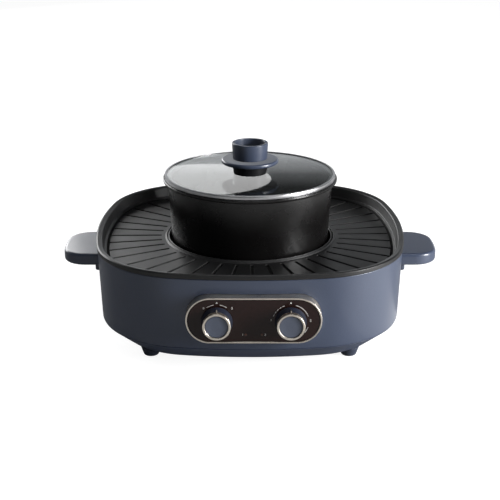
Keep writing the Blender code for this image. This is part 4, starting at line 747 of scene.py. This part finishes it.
def housing_inset(height):
    """Inset of the housing's outer wall, which leans in towards its bottom."""
    top, lean = 0.8, 2.8
    return top + lean * (HOUSING_TOP - height) / (HOUSING_TOP - HOUSING_BOTTOM)


class HOTPOT_OT_housing(bpy.types.Operator):
    """Build the slate housing as one profile swept round the pan's outline."""

    bl_idname = "hot_pot_grill.housing"
    bl_label = "Housing"

    def execute(self, context):
        wall, floor_inset = 2.6, 40.0
        shelf_inset, shelf_low, shelf_top = 17.0, 78.5, 81.0
        profile = [
            (housing_inset(HOUSING_TOP), HOUSING_TOP, 0.7),
            (housing_inset(HOUSING_BOTTOM), HOUSING_BOTTOM, 0.9),
            (floor_inset, HOUSING_BOTTOM, 0.3), (floor_inset, HOUSING_FLOOR, 0.3),
            (housing_inset(HOUSING_FLOOR) + wall, HOUSING_FLOOR, 1.2),
            (housing_inset(shelf_low) + wall, shelf_low, 0.6), (shelf_inset, shelf_low, 0.4),
            (shelf_inset, shelf_top, 0.4), (housing_inset(shelf_top) + wall, shelf_top, 0.8),
            (housing_inset(HOUSING_TOP) + wall, HOUSING_TOP, 0.6),
        ]
        shell = swept_solid("housing_shell", stand_place(), pan_loop(), profile)
        width, height = (length + 0.6 for length in PANEL_SIZE)
        panel = rounded_box_loop(width, height, 24.8, 16)
        inlet = rounded_box_loop(30.6, 22.6, 0.4, 2)
        carve(shell, [
            swept_solid("panel_window", panel_place, panel, [(0, -21), (0, 6)], capped=True),
            swept_solid("inlet_window", inlet_place, inlet, [(0, -21), (0, 4)], capped=True),
        ])
        finish_piece(shell, "base", slate_look(), ["outer_housing"])
        return {"FINISHED"}


class HOTPOT_OT_base(bpy.types.Operator):
    """Build the dark base cover with its vents and screw wells, and the four feet."""

    bl_idname = "hot_pot_grill.base"
    bl_label = "Base cover and feet"

    def execute(self, context):
        profile = [
            (60.0, BASE_BOTTOM), (27.0, BASE_BOTTOM, 3.0), (3.6, CREASE, 0.9),
            (6.2, CREASE, 0.5), (28.3, BASE_FLOOR, 1.5), (60.0, BASE_FLOOR),
        ]
        place = stand_place()
        cover = swept_solid("base_dish", place, pan_loop(), profile, capped=True)
        cutters, through = [], [(0, 8.0), (0, 16.0)]
        loop = rounded_box_loop(4.0, 36.0, 1.9, 6)
        for y, i in itertools.product((-VENT_Y, VENT_Y), range(VENTS)):
            middle = np.array([(i - VENTS // 2) * VENT_STEP, y, 0])
            slot = place(swept(loop, through) + middle)
            cutters.append(solid(f"vent_{y}_{i}", slot, capped=True))
        for x, y in itertools.product((-WELL_X, WELL_X), (-WELL_Y, WELL_Y)):
            well = place(turned([(WELL_RADIUS, z) for _, z in through], 32, (x, y)))
            cutters.append(solid(f"well_{x}_{y}", well, capped=True))
        carve(cover, cutters)
        look = grained("base_slate_plastic", scale=1100.0, Specular_IOR_Level=0.3)
        finish_piece(cover, "base", look, ["base_cover"])
        foot = [
            (0, 15.0), (3.0, 15.0, 0.4), (3.0, FOOT_TOP, 0.3), (11.4, FOOT_TOP, 0.7),
            (7.8, 0, 2.6), (0, 0),
        ]
        look = grained("foot_rubber", scale=700.0, depth=0.00006)
        for name, (side, end) in CORNERS.items():
            place = stand_place(side * FOOT_X, end * FOOT_Y)
            made = lathe(f"rubber_foot_{name}", rounded(foot), place, 64)
            finish_piece(made, "base", look, [f"foot_{name}"])
        return {"FINISHED"}


def handle_loop(side, reach, half_length, corner, bow, wall_inset):
    """Function for a handle's plan: bowed tip, round corners and an end along the wall."""
    bow_x = reach - bow
    corner_y = half_length - corner
    corner_x = bow_x + math.sqrt((bow - corner) ** 2 - corner_y**2)
    turn = math.degrees(math.atan2(corner_y, corner_x - bow_x))

    def loop(inset):
        lower, lower_away = arc_points(corner_x, -corner_y, corner, -90, -turn, 14)
        tip, tip_away = arc_points(bow_x, 0, bow, -turn, turn, 12)
        upper, upper_away = arc_points(corner_x, corner_y, corner, turn, 90, 14)
        outer = np.concatenate([lower, tip[1:-1], upper])
        outer = outer - inset * np.concatenate([lower_away, tip_away[1:-1], upper_away])
        end = half_length - inset
        y = np.linspace(end, -end, 12)
        radius = SIDE_ARC[2] - wall_inset
        x = SIDE_ARC[0] + np.sqrt(radius**2 - y**2)
        run = np.concatenate([outer, np.column_stack([x, y])])
        return run * np.array([side, 1.0])

    return loop


class HOTPOT_OT_handles(bpy.types.Operator):
    """Build the two side handles, each a rounded slab on a short fin."""

    bl_idname = "hot_pot_grill.handles"
    bl_label = "Handles"

    def execute(self, context):
        top, bottom, edge = HANDLE_TOP, 76.0, 3.5
        slab = rounded([(9.0, top), (0, top, edge), (0, bottom, edge), (9.0, bottom)], 8)[1:-1]
        fin = rounded([(0.2, 77.0), (0, 66.5, 2.2), (5.0, 66.5)], 6)[:-1]
        for name, side in SIDES.items():
            sizes = {"reach": 211.0, "half_length": 40.5, "corner": 26.0, "bow": 220.0}
            loop = handle_loop(side, **sizes, wall_inset=2.4)
            grip = solid(f"handle_slab_{name}", stand_place()(swept(loop, slab)), capped=True)
            finish_piece(grip, "base", slate_look(), [f"handle_{name}"])
            sizes = {"reach": 175.5, "half_length": 31.0, "corner": 3.2, "bow": 420.0}
            loop = handle_loop(side, **sizes, wall_inset=2.9)
            foot = solid(f"handle_fin_{name}", stand_place()(swept(loop, fin)), capped=True)
            finish_piece(foot, "base", slate_look(), [])
        return {"FINISHED"}


def arc_band(radius, width, start, end, centre):
    """Loop of a printed arc of this width, angles in degrees clockwise from the top."""
    steps = max(4, int(abs(end - start) / 3))
    outer, _ = arc_points(*centre, radius + width / 2, 90 - start, 90 - end, steps)
    inner, _ = arc_points(*centre, radius - width / 2, 90 - end, 90 - start, steps)
    return np.concatenate([outer, inner])


def triangle(radius, size, centre):
    """Loop of a small triangle above a dial, which points away from it."""
    x, y = centre
    low, high = y + radius - size / 2, y + radius + size / 2
    return np.array([(x - size * 0.55, low), (x + size * 0.55, low), (x, high)])


# Which of the seven bars each numeral shows: top, two right, bottom, two left, middle
NUMERAL_BARS = {"0": "abcdef", "1": "bc", "2": "abged", "3": "abgcd", "5": "afgcd"}


# The low and the high end of each bar in half heights
BARS = {
    "a": ((-0.5, 1), (0.5, 1)),
    "b": ((0.5, 0), (0.5, 1)),
    "c": ((0.5, -1), (0.5, 0)),
    "d": ((-0.5, -1), (0.5, -1)),
    "e": ((-0.5, -1), (-0.5, 0)),
    "f": ((-0.5, 0), (-0.5, 1)),
    "g": ((-0.5, 0), (0.5, 0)),
}


def numeral(value, height, centre):
    """Loops of a plain numeral made of bars that are 0.15 of its height thick."""
    half, stroke = height / 2, height * 0.15
    loops = []
    for bar in NUMERAL_BARS[value]:
        low, high = (np.array(end) * half for end in BARS[bar])
        (left, bottom), (right, top) = low - stroke / 2, high + stroke / 2
        corners = np.array([(left, bottom), (right, bottom), (right, top), (left, top)])
        loops.append(corners + np.array(centre))
    return loops


# The print's bottom and top in the panel's frame. The plate's front is at -0.6.
PRINT_HEIGHTS = (-0.72, -0.55)


def print_solid(name, loops):
    """One body from flat shapes that stand a hair proud of the panel's plate."""
    points, faces, count = [], [], 0
    for loop in loops:
        made, groups = prism(loop, *PRINT_HEIGHTS)
        points.append(made)
        faces += [group + count for group in groups]
        count += len(made)
    return mesh_object(name, panel_place(np.concatenate(points)) * MM, faces)


def printed_scales():
    """Loops of the print round each dial and beside the lamps."""
    arc, width = 18.4, 0.5
    left, right = (-DIAL_X, DIAL_Y), (DIAL_X, DIAL_Y)
    scale_left = [
        arc_band(arc, width, -33, -10, left),
        arc_band(arc, width, 10, 33, left),
        triangle(20.6, 1.9, left),
        *numeral("0", 1.9, (left[0] - 13.2, left[1] + 14.6)),
        *numeral("3", 2.2, (left[0] + 15.2, left[1] + 14.8)),
    ]
    scale_right = [
        *[arc_band(arc, width, start, start + 7, right) for start in range(-71, -17, 11)],
        arc_band(arc, width, 16, 71, right),
        triangle(20.6, 1.9, right),
        *numeral("0", 1.9, (right[0] - 19.8, right[1] + 1.8)),
        *numeral("5", 2.2, (right[0] + 20.0, right[1] + 1.4)),
        arc_band(arc, 0.4, 108, 130, right),
    ]
    first, second = (-LAMP_X - 3.4, LAMP_Y), (LAMP_X + 3.4, LAMP_Y)
    lamp_numbers = [*numeral("1", 2.0, first), *numeral("2", 2.0, second)]
    return {"scale_left": scale_left, "scale_right": scale_right, "lamp_numbers": lamp_numbers}


class HOTPOT_OT_panel(bpy.types.Operator):
    """Build the panel: metal trim, glossy plate, two lamps and the printed scales."""

    bl_idname = "hot_pot_grill.panel"
    bl_label = "Control panel"

    def execute(self, context):
        width, height = PANEL_SIZE
        loop = rounded_box_loop(width, height, height / 2, 40)
        profile = [(0, 0, 0.5), (1.6, 0, 0.45), (1.6, -19.0, 0.1), (0, -19.0, 0.1)]
        trim = swept_solid("trim_ring", panel_place, loop, profile)
        look = champagne("champagne_trim", 0, 0)
        finish_piece(trim, "base", look, ["panel_trim"])
        profile = [(3.5, -3.0), (1.9, -3.0, 0.1), (1.9, -0.6, 0.35), (3.5, -0.6)]
        plate = swept_solid("panel_plate", panel_place, loop, profile, capped=True)
        look = grained("panel_brown_gloss", scale=300.0, depth=5e-6, Specular_IOR_Level=0.26)
        finish_piece(plate, "base", look, ["control_panel"])
        lens = rounded([(0, 0.1), (0.8, 0.05, 0.8), (1.4, -0.5, 0.3), (1.4, -4.0), (0, -4.0)], 4)
        look = grained("lamp_lens_amber", Coat_Weight=0.5, Coat_Roughness=0.04)
        for name, side in SIDES.items():
            made = lathe(f"lamp_{name}", lens, panel_place, 32, (side * LAMP_X, LAMP_Y))
            finish_piece(made, "base", look, [f"indicator_lamp_{name}"])
        for name, loops in printed_scales().items():
            finish_piece(print_solid(name, loops), "base", grained("dial_print", scale=3000.0))
        return {"FINISHED"}


class HOTPOT_OT_dials(bpy.types.Operator):
    """Build the two dials: dark skirt, metal ring, grey cap and small pointer."""

    bl_idname = "hot_pot_grill.dials"
    bl_label = "Dials"

    def execute(self, context):
        skirt = [
            (0, 10.0), (11.5, 10.0, 0.2), (11.5, 8.1), (13.9, 8.1, 0.7), (16.2, 0, 0.6),
            (13.7, 0, 0.4), (12.0, 5.6, 0.8), (0, 5.6),
        ]
        ring = [(11.8, 14.0, 0.7), (14.2, 14.0, 0.8), (14.2, 8.4, 0.35), (11.8, 8.4, 0.2)]
        cap = [(0, 12.55), (6.0, 12.6, 8.0), (11.5, 12.95, 0.5), (11.5, 10.4, 0.2), (0, 10.4)]
        skirt, ring, cap = rounded(skirt), rounded(ring, 6, closed=True), rounded(cap, 6)
        for name, side in SIDES.items():
            body, centre = f"knob_{name}", (side * DIAL_X, DIAL_Y)
            made = lathe(f"dial_skirt_{name}", skirt, panel_place, DIAL_STEPS, centre)
            look = grained("dial_navy_plastic")
            finish_piece(made, body, look, [f"knob_{name}_skirt"])
            made = lathe(f"dial_ring_{name}", ring, panel_place, DIAL_STEPS, centre)
            metal = champagne(f"champagne_ring_{name}", *centre)
            finish_piece(made, body, metal, [f"knob_{name}_ring"])
            made = lathe(f"dial_cap_{name}", cap, panel_place, DIAL_STEPS, centre)
            look = grained("dial_cap_paint", scale=1500.0)
            finish_piece(made, body, look, [f"knob_{name}_cap"])
            section = [(0.3, 13.2), (0, 13.2, 0.1), (0, 15.2, 0.3), (0.3, 15.2)]
            flat = swept(rounded_box_loop(1.2, 3.4, 0.4, 5), rounded(section, 3))
            x, y, z = np.moveaxis(flat, -1, 0)
            grid = np.stack([centre[0] + x, centre[1] + z, POINTER_Z + y], -1)
            made = solid(f"dial_pointer_{name}", panel_place(grid), capped=True)
            finish_piece(made, body, metal, [f"knob_{name}_pointer"])
        return {"FINISHED"}


class HOTPOT_OT_inlet(bpy.types.Operator):
    """Build the power inlet's body, with its flange and socket, in the back wall."""

    bl_idname = "hot_pot_grill.inlet"
    bl_label = "Power inlet"

    def execute(self, context):
        profile = [
            (12.0, -16.0), (7.0, -16.0, 0.5), (7.0, 0, 0.6), (0, 0, 0.9), (0, -3.0, 0.4),
            (4.0, -3.0, 0.2), (4.0, -18.5, 0.6), (12.0, -18.5),
        ]
        loop = rounded_box_loop(38.0, 30.0, 3.0, 10)
        made = swept_solid("inlet_socket", inlet_place, loop, profile, capped=True)
        finish_piece(made, "base", grained("black_moulding"), ["power_inlet"])
        return {"FINISHED"}


def pan_rows():
    """Rows of the pan's section, each with its kind, place and height.

    "turned" rows are circles of a radius, "between" rows a share of the way from the ring's
    foot to the moat, and "outline" rows the pan's outline drawn in by an inset.
    """
    collar = [
        (HOLE + 1.5, COLLAR_BOTTOM), (HOLE, COLLAR_BOTTOM, 0.5), (HOLE, 100.5, 0.3),
        (HOLE + 1.0, CREST, 0.5), (HOLE + 2.1, VALLEY, 0.3), (HOLE + 3.4, CREST, 0.6),
        (RING_FOOT, PLATE, 0.4), (RING_FOOT + 1.6, PLATE),
    ]
    rows = [("turned", r, z) for r, z in rounded(collar)[1:]]
    rows += [("turned", GROOVE_START + step, PLATE) for step in (-0.5, -0.2, 0.1, 0.4, 0.7, 1.3)]
    rows += [("between", share, PLATE) for share in np.linspace(0.14, 0.955, 12)]
    moat = [
        (17.0, PLATE), (PLATE_INSET, PLATE, 0.6), (13.6, 96.5, 0.7), (11.3, 96.5, 0.7),
        (11.0, LEDGE, 0.4), (8.8, CREST, 0.9), (6.4, 111.7, 1.5), (1.3, RIM_TOP, 1.3),
        (0, 111.7, 0.8), (0, 107.5, 0.7), (4.2, 107.5, 0.6), (7.0, 97.3, 1.5),
        (9.3, PAN_UNDER, 1.5), (PLATE_INSET, PAN_UNDER),
    ]
    rows += [("outline", inset, z) for inset, z in rounded(moat)]
    rows += [("between", share, PAN_UNDER) for share in (0.8, 0.4, 0.1)]
    under = [
        (RING_FOOT, PAN_UNDER), (HOLE + 3, PAN_UNDER, 0.8), (HOLE + 3, COLLAR_BOTTOM, 0.4),
        (HOLE + 1.5, COLLAR_BOTTOM),
    ]
    rows += [("turned", r, z) for r, z in rounded(under, 4)]
    return rows


def groove_columns():
    """The pan's columns: their a and b, how far each is cut, and how much painted shade darkens it,
    from 0 to 1.

    A column's angle at radius r is a + b / r. A groove's own columns have its angle as a and
    their distance from its middle line as b, so that a groove keeps one width, and the
    columns between two grooves share out the rest.
    """
    half = settings().groove_width / MM / 2
    left = -half + np.array([-1.35, -1.0, -0.55, 0.0, 0.5]) * GROOVE_EDGE
    lateral = np.concatenate([left, [0.0], -left[::-1]])
    across = np.abs(lateral)
    cut = 1 - smooth_step(half - GROOVE_EDGE, half + GROOVE_EDGE, across)
    # Painted shade: each groove and a little of its edges are marked dark
    painted_shade = 1 - smooth_step(half + 0.3 * GROOVE_EDGE, half + 1.3 * GROOVE_EDGE, across)
    land = np.linspace(0, 1, 8)[1:-1]
    step = math.tau / GROOVES
    a = np.concatenate([np.zeros(len(lateral)), land * step])
    b = np.concatenate([lateral, lateral[-1] * (1 - 2 * land)])
    start = GROOVE_TURN + step * np.arange(GROOVES)
    plain = np.zeros(len(land))
    sets = (b, np.concatenate([cut, plain]), np.concatenate([painted_shade, plain]))
    return (start[:, None] + a).ravel(), *(np.tile(each, GROOVES) for each in sets)


def outline_columns(a, b):
    """Where each column meets the pan's outline, and the direction out of it there.

    The outline's own angles at the plate's edge are matched with the columns' angles at
    one radius, and the point is found between the two nearest ones.
    """
    points, away = outline_arrays(MATCH_STEPS)
    edge = points - PLATE_INSET * away
    angle = np.unwrap(np.arctan2(edge[:, 1], edge[:, 0]))
    angles = np.concatenate([angle - math.tau, angle, angle + math.tau])
    order = np.interp(a + b / MATCH_RADIUS, angles, np.arange(len(angles)))
    low = np.floor(order).astype(int)
    share = (order - low)[:, None]
    first, second = low % len(points), (low + 1) % len(points)
    outer = points[first] * (1 - share) + points[second] * share
    return outer, away[first] * (1 - share) + away[second] * share


def pan_grid():
    """Grid of the grill pan with its grooves, and how much painted shade darkens each point.

    Up to the plate's edge a column turns with its own angle, and it bends to meet the
    outline by the cube of the way there. Past the edge it follows the direction out of the
    outline. A groove lowers its columns by its depth times their cut, and starts with a ramp.
    """
    depth = settings().groove_depth / MM
    a, b, cut, painted_shade = groove_columns()
    outer, outward = outline_columns(a, b)
    edge = outer - PLATE_INSET * outward
    edge_radius = np.linalg.norm(edge, axis=1)
    edge_angle = np.arctan2(edge[:, 1], edge[:, 0])
    miss = (edge_angle - (a + b / edge_radius) + math.pi) % math.tau - math.pi
    rows, shade_marks = [], []
    for kind, value, z in pan_rows():
        height, mark = np.full(len(a), z), np.zeros(len(a))
        if kind == "outline":
            flat = outer - value * outward
            if value > PLATE_INSET - 1.5 and z > PAN_UNDER + 1.5:
                height = np.minimum(z, PLATE - depth * cut)
                # Painted shade where the grooves run out at the plate's edge
                mark = painted_shade
            if PAN_UNDER + 0.1 < z < LEDGE - 0.6 and 10 < value < PLATE_INSET - 0.05:
                # Painted shade: the moat round the plate is marked fully dark
                mark = np.ones(len(a))
        else:
            radius = np.full(len(a), value)
            if kind == "between":
                radius = RING_FOOT + value * (edge_radius - RING_FOOT)
            way = np.clip((radius - RING_FOOT) / (edge_radius - RING_FOOT), 0, 1)
            turn = a + b / radius + way**3 * miss
            flat = radius[:, None] * np.stack([np.cos(turn), np.sin(turn)], -1)
            if z == PLATE:
                ramp = smooth_step(GROOVE_START - 0.2, GROOVE_START + 0.7, radius)
                height = z - depth * cut * ramp
                # Painted shade along each groove, fading in where the groove starts
                mark = painted_shade * smooth_step(GROOVE_START - 0.5, GROOVE_START + 0.1, radius)
            elif z < VALLEY + 0.5 and 0.5 < value - HOLE < 4:
                # Painted shade: the ring's valley and the low rows beside it are marked fully dark
                mark = np.ones(len(a))
        rows.append(np.column_stack([flat, height]))
        shade_marks.append(mark)
    return np.stack(rows), np.concatenate(shade_marks)


class HOTPOT_OT_pan(bpy.types.Operator):
    """Build the grill pan with its rim, moat, grooves and the double ring round the pot."""

    bl_idname = "hot_pot_grill.pan"
    bl_label = "Grill pan"

    def execute(self, context):
        grid, groove = pan_grid()
        # The "groove" mark carries the painted shade of the grooves, the ring's valley and the moat
        made = solid("pan_casting", stand_place()(grid), marks={"groove": groove})
        look = flecked("grill_coating_flecks")
        finish_piece(made, "grill_pan", look, ["grill_pan"])
        return {"FINISHED"}


class HOTPOT_OT_pot(bpy.types.Operator):
    """Build the tapered pot with its rolled rim."""

    bl_idname = "hot_pot_grill.pot"
    bl_label = "Pot"

    def execute(self, context):
        neck, neck_radius, wall, floor = 164.4, 92.3, 2.1, 42.6
        foot = neck_radius - 0.056 * (neck - POT_BOTTOM)
        profile = [
            (0, floor), (foot - wall, floor, 10.0), (neck_radius - wall, neck, 2.0),
            (92.7, POT_TOP, 1.8), (97.9, POT_TOP, 1.7), (97.3, 165.3, 1.1),
            (neck_radius, neck, 1.2), (foot, POT_BOTTOM, 12.0), (0, POT_BOTTOM),
        ]
        made = lathe("pot_body", rounded(profile, 9), stand_place())
        look = flecked("pot_coating_flecks", depth=0.00002)
        finish_piece(made, "pot", look, ["pot"])
        return {"FINISHED"}


def disc_profile(hole, top, bottom):
    """Section of a disc with a hole, from its two outer edges as radius, height, rounding."""
    return [(hole, top[1], 0.2), top, bottom, (hole, bottom[1], 0.2)]


class HOTPOT_OT_lid(bpy.types.Operator):
    """Build the glass lid, its steel rim and the three pieces of its knob."""

    bl_idname = "hot_pot_grill.lid"
    bl_label = "Lid"

    def execute(self, context):
        place = stand_place()
        rim = [
            (92.9, 173.1, 0.15), (95.4, 173.1, 0.8), (95.7, 171.0, 3.0), (95.4, 168.9, 0.3),
            (89.4, 168.9, 0.7), (89.4, 164.6, 0.15), (88.9, 164.6, 0.15), (88.9, 169.4, 0.9),
            (94.7, 169.4, 0.2), (94.7, 172.6, 0.2), (92.9, 172.6, 0.1),
        ]
        made = lathe("lid_band", rounded(rim, closed=True), place)
        look = lined("lid_steel_turned", "lid_steel_turned", (0.0, CENTRE_Y * MM, 0.0), (1, 1, 0))
        finish_piece(made, "lid", look, ["lid_rim"])
        glass = disc_profile(4.0, (94.4, GLASS_TOP, 0.3), (94.4, GLASS_BOTTOM, 0.3))
        made = lathe("lid_pane", rounded(glass, 4, closed=True), place)
        finish_piece(made, "lid", glass_look(), ["lid_glass"])
        spacer = disc_profile(2.3, (19.8, 184.1, 0.9), (18.4, KNOB_BASE, 0.4))
        made = lathe("knob_spacer", rounded(spacer, closed=True), place)
        made.visible_glossy = False
        finish_piece(made, "lid", grained("black_moulding"), ["lid_knob_base"])
        flange = disc_profile(2.3, (31.8, 188.9, 2.2), (31.8, FLANGE_BOTTOM, 1.8))
        made = lathe("knob_disc", rounded(flange, 8, closed=True), place)
        made.visible_glossy = False
        finish_piece(made, "lid", slate_look(), ["lid_knob_flange"])
        floor, under = 192.6, 190.9
        cup = [
            (0, floor), (17.0, floor, 1.6), (17.0, GRIP_TOP, 0.9), (20.2, GRIP_TOP, 1.0),
            (19.2, GRIP_BOTTOM, 0.8), (2.3, GRIP_BOTTOM, 0.2), (2.3, under, 0.2), (0, under),
        ]
        grid = turned(rounded(cup, 6)[1:-1], 256)
        notch = NOTCH_DEPTH * (1 - smooth_step(*NOTCH_EDGE, np.abs(grid[..., 1])))
        grid[..., 2] = np.minimum(grid[..., 2], GRIP_TOP - notch)
        tips = np.array([(0, 0, floor), (0, 0, under)])
        made = tipped("knob_cup", place(grid), place(tips))
        made.visible_glossy = False
        finish_piece(made, "lid", slate_look(), ["lid_knob_grip"])
        return {"FINISHED"}


def soft_box(name, place, target, size, brightness, shape):
    """A soft box that faces its target and doesn't show to the camera.

    Its power is brightness * pi * area, so that its face has that brightness at any size.
    """
    data = bpy.data.lights.new(name, "AREA")
    data.shape = shape
    data.size, data.size_y = size
    area = size[0] * size[1] * (math.pi / 4 if shape == "ELLIPSE" else 1)
    data.energy = brightness * math.pi * area * settings().light_share
    made = add_object(name, data)
    made.location = place
    aim(made, target)
    made.visible_camera = False
    return made


def spare(lamp, *names):
    """Keeps a lamp's light off some objects, so that they don't mirror it."""
    spared = bpy.data.collections.new(f"{lamp.name}_spares")
    for name in names:
        spared.objects.link(bpy.data.objects[name])
    for entry in spared.collection_objects:
        entry.light_linking.link_state = "EXCLUDE"
    lamp.light_linking.receiver_collection = spared


def aim(made, target):
    """Turns an object so that its minus z axis points at the target."""
    way = Vector(target) - made.location
    made.rotation_euler = way.to_track_quat("-Z", "Y").to_euler()


def for_camera(tree, seen, lit):
    """The first shader for what the camera sees itself, and the second for all other light."""
    path = node(tree, "ShaderNodeLightPath")
    links = {0: path.outputs["Is Camera Ray"], 1: lit, 2: seen}
    return node(tree, "ShaderNodeMixShader", links).outputs[0]


def floor_look():
    """A pale matt floor that shows as white, and keeps the soft shadow under the object.

    The camera sees its own light added to what the lamps give it, and everything else sees
    only the plain floor.
    """
    made, tree, surface = new_material("studio_floor")
    place = node(tree, "ShaderNodeTexCoord").outputs["Object"]
    slow = noise(tree, place, 3.0, 2.0)
    tint = blended(tree, slow, (0.34, 0.34, 0.34, 1), (0.36, 0.36, 0.36, 1))
    tree.links.new(tint, surface.inputs["Base Color"])
    surface.inputs["Roughness"].default_value = 0.9
    surface.inputs["Specular IOR Level"].default_value = 0.1
    glow = node(tree, "ShaderNodeEmission", {"Color": (1, 1, 1, 1), "Strength": 0.9})
    both = node(tree, "ShaderNodeAddShader", {0: surface.outputs[0], 1: glow.outputs[0]})
    mixed = for_camera(tree, both.outputs[0], surface.outputs[0])
    tree.links.new(mixed, tree.nodes["Material Output"].inputs["Surface"])
    return made


def studio_world():
    """White for the camera. The light sees a dim grey room with a white backdrop behind.

    Behind the object the strength falls from the backdrop's white at the horizon to a dark
    ceiling, by the height of the direction, and in front it is the room's plain level.
    """
    world = bpy.data.worlds.new("studio")
    world.use_nodes = True
    bpy.context.scene.world = world
    tree = world.node_tree
    tree.nodes.clear()
    seen = node(tree, "ShaderNodeBackground", {"Color": (1, 1, 1, 1), "Strength": 1.0})
    way = node(tree, "ShaderNodeTexCoord").outputs["Generated"]
    parts = node(tree, "ShaderNodeSeparateXYZ", {0: way})
    ramp = node(tree, "ShaderNodeValToRGB", {"Fac": parts.outputs["Z"]})
    ramp.color_ramp.interpolation = "EASE"
    ramp.color_ramp.elements.remove(ramp.color_ramp.elements[1])
    for place, level in BACKDROP_LEVELS:
        point = ramp.color_ramp.elements.new(place)
        point.color = (level, level, level, 1)
    behind = ranged(tree, parts.outputs["Y"], 0.3, 0.8)
    level = blended(tree, behind, ROOM_LEVEL, ramp.outputs["Color"], data_type="FLOAT")
    room = node(tree, "ShaderNodeBackground", {"Color": (0.94, 0.97, 1.0, 1), "Strength": level})
    mixed = for_camera(tree, seen.outputs[0], room.outputs[0])
    node(tree, "ShaderNodeOutputWorld", {"Surface": mixed})


# Width and depth of the floor in millimetres
FLOOR_SIZE = 16000.0

# How bright the room is, and the backdrop at the sine of its height over the horizon
ROOM_LEVEL = 0.11
BACKDROP_LEVELS = (
    (0.0, 1.05), (0.17, 1.35), (0.25, 1.1), (0.262, 0.6), (0.271, 0.18), (0.282, 0.03),
    (1.0, 0.03),
)

# Soft boxes: name, place, target, width and height, brightness, shape
LIGHTS = (
    ("key", (1.5, -0.63, 0.47), (0.05, 0.0, 0.12), (0.42, 0.88), 50.0, "RECTANGLE"),
    ("lid_oval", (-0.15, 2.3, 0.834), (-0.04, 0.0, 0.172), (0.44, 0.105), 1.33, "ELLIPSE"),
    ("back_left", (-1.55, 1.93, 0.9), (-0.1, 0.0, 0.1), (2.25, 1.05), 5.9, "RECTANGLE"),
    ("overhead", (0.1, -0.45, 1.9), (0.0, 0.0, 0.1), (1.0, 0.5), 3.6, "RECTANGLE"),
    ("front_card", (0.0, -0.47, 0.004), (0.0, -0.47, 1.0), (1.0, 0.42), 0.22, "RECTANGLE"),
    ("right_card", (0.46, -0.15, 0.004), (0.46, -0.15, 1.0), (0.56, 0.3), 0.8, "RECTANGLE"),
)


class HOTPOT_OT_stage(bpy.types.Operator):
    """Build the pale floor, the soft boxes, the white surroundings and the camera."""

    bl_idname = "hot_pot_grill.stage"
    bl_label = "Studio"

    def execute(self, context):
        loop = rounded_box_loop(FLOOR_SIZE, FLOOR_SIZE, 3000.0, 12)
        edge = [(0, -20.0), (0, -1.0), (6.0, 0.0)]
        floor = solid("floor", swept(loop, edge), capped=True)
        floor.data.materials.append(floor_look())
        studio_world()
        boxes = {light[0]: soft_box(*light) for light in LIGHTS}
        spare(boxes["back_left"], "lid_pane", "lid_band")
        spare(boxes["key"], "lid_pane")
        data = bpy.data.cameras.new("camera")
        data.lens = LENS
        data.clip_end = 100.0
        camera = add_object("camera", data)
        tilt, far = settings().camera_elevation, settings().camera_distance
        middle = (0.0, CENTRE_Y * MM, AIM_HEIGHT)
        camera.location = (0.0, middle[1] - far * math.cos(tilt), middle[2] + far * math.sin(tilt))
        aim(camera, middle)
        bpy.context.scene.camera = camera
        bpy.context.scene.view_settings.view_transform = "Standard"
        return {"FINISHED"}


class HOTPOT_PT_sidebar(bpy.types.Panel):
    """Sidebar with the settings and one button for each step."""

    bl_idname = "HOTPOT_PT_sidebar"
    bl_label = "Hot pot grill"
    bl_space_type = "VIEW_3D"
    bl_region_type = "UI"
    bl_category = "Hot pot grill"

    def draw(self, context):
        for name in HotPotGrillSettings.__annotations__:
            self.layout.prop(context.scene.hot_pot_grill, name)
        for step in STEPS:
            self.layout.operator(step.bl_idname)


STEPS = (
    HOTPOT_OT_inner_parts, HOTPOT_OT_housing, HOTPOT_OT_base, HOTPOT_OT_handles, HOTPOT_OT_panel,
    HOTPOT_OT_dials, HOTPOT_OT_inlet, HOTPOT_OT_pan, HOTPOT_OT_pot, HOTPOT_OT_lid, HOTPOT_OT_stage,
)
CLASSES = (HotPotGrillSettings, *STEPS, HOTPOT_PT_sidebar)


def register():
    for each in CLASSES:
        bpy.utils.register_class(each)
    bpy.types.Scene.hot_pot_grill = bpy.props.PointerProperty(type=HotPotGrillSettings)


def unregister():
    del bpy.types.Scene.hot_pot_grill
    for each in reversed(CLASSES):
        bpy.utils.unregister_class(each)


def main():
    """Registers the add-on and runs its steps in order."""
    register()
    for step in STEPS:
        group, name = step.bl_idname.split(".")
        result = getattr(getattr(bpy.ops, group), name)()
        if result != {"FINISHED"}:
            raise RuntimeError(f"{step.bl_label} did not finish")
    bpy.context.view_layer.update()


if __name__ == "__main__":
    main()
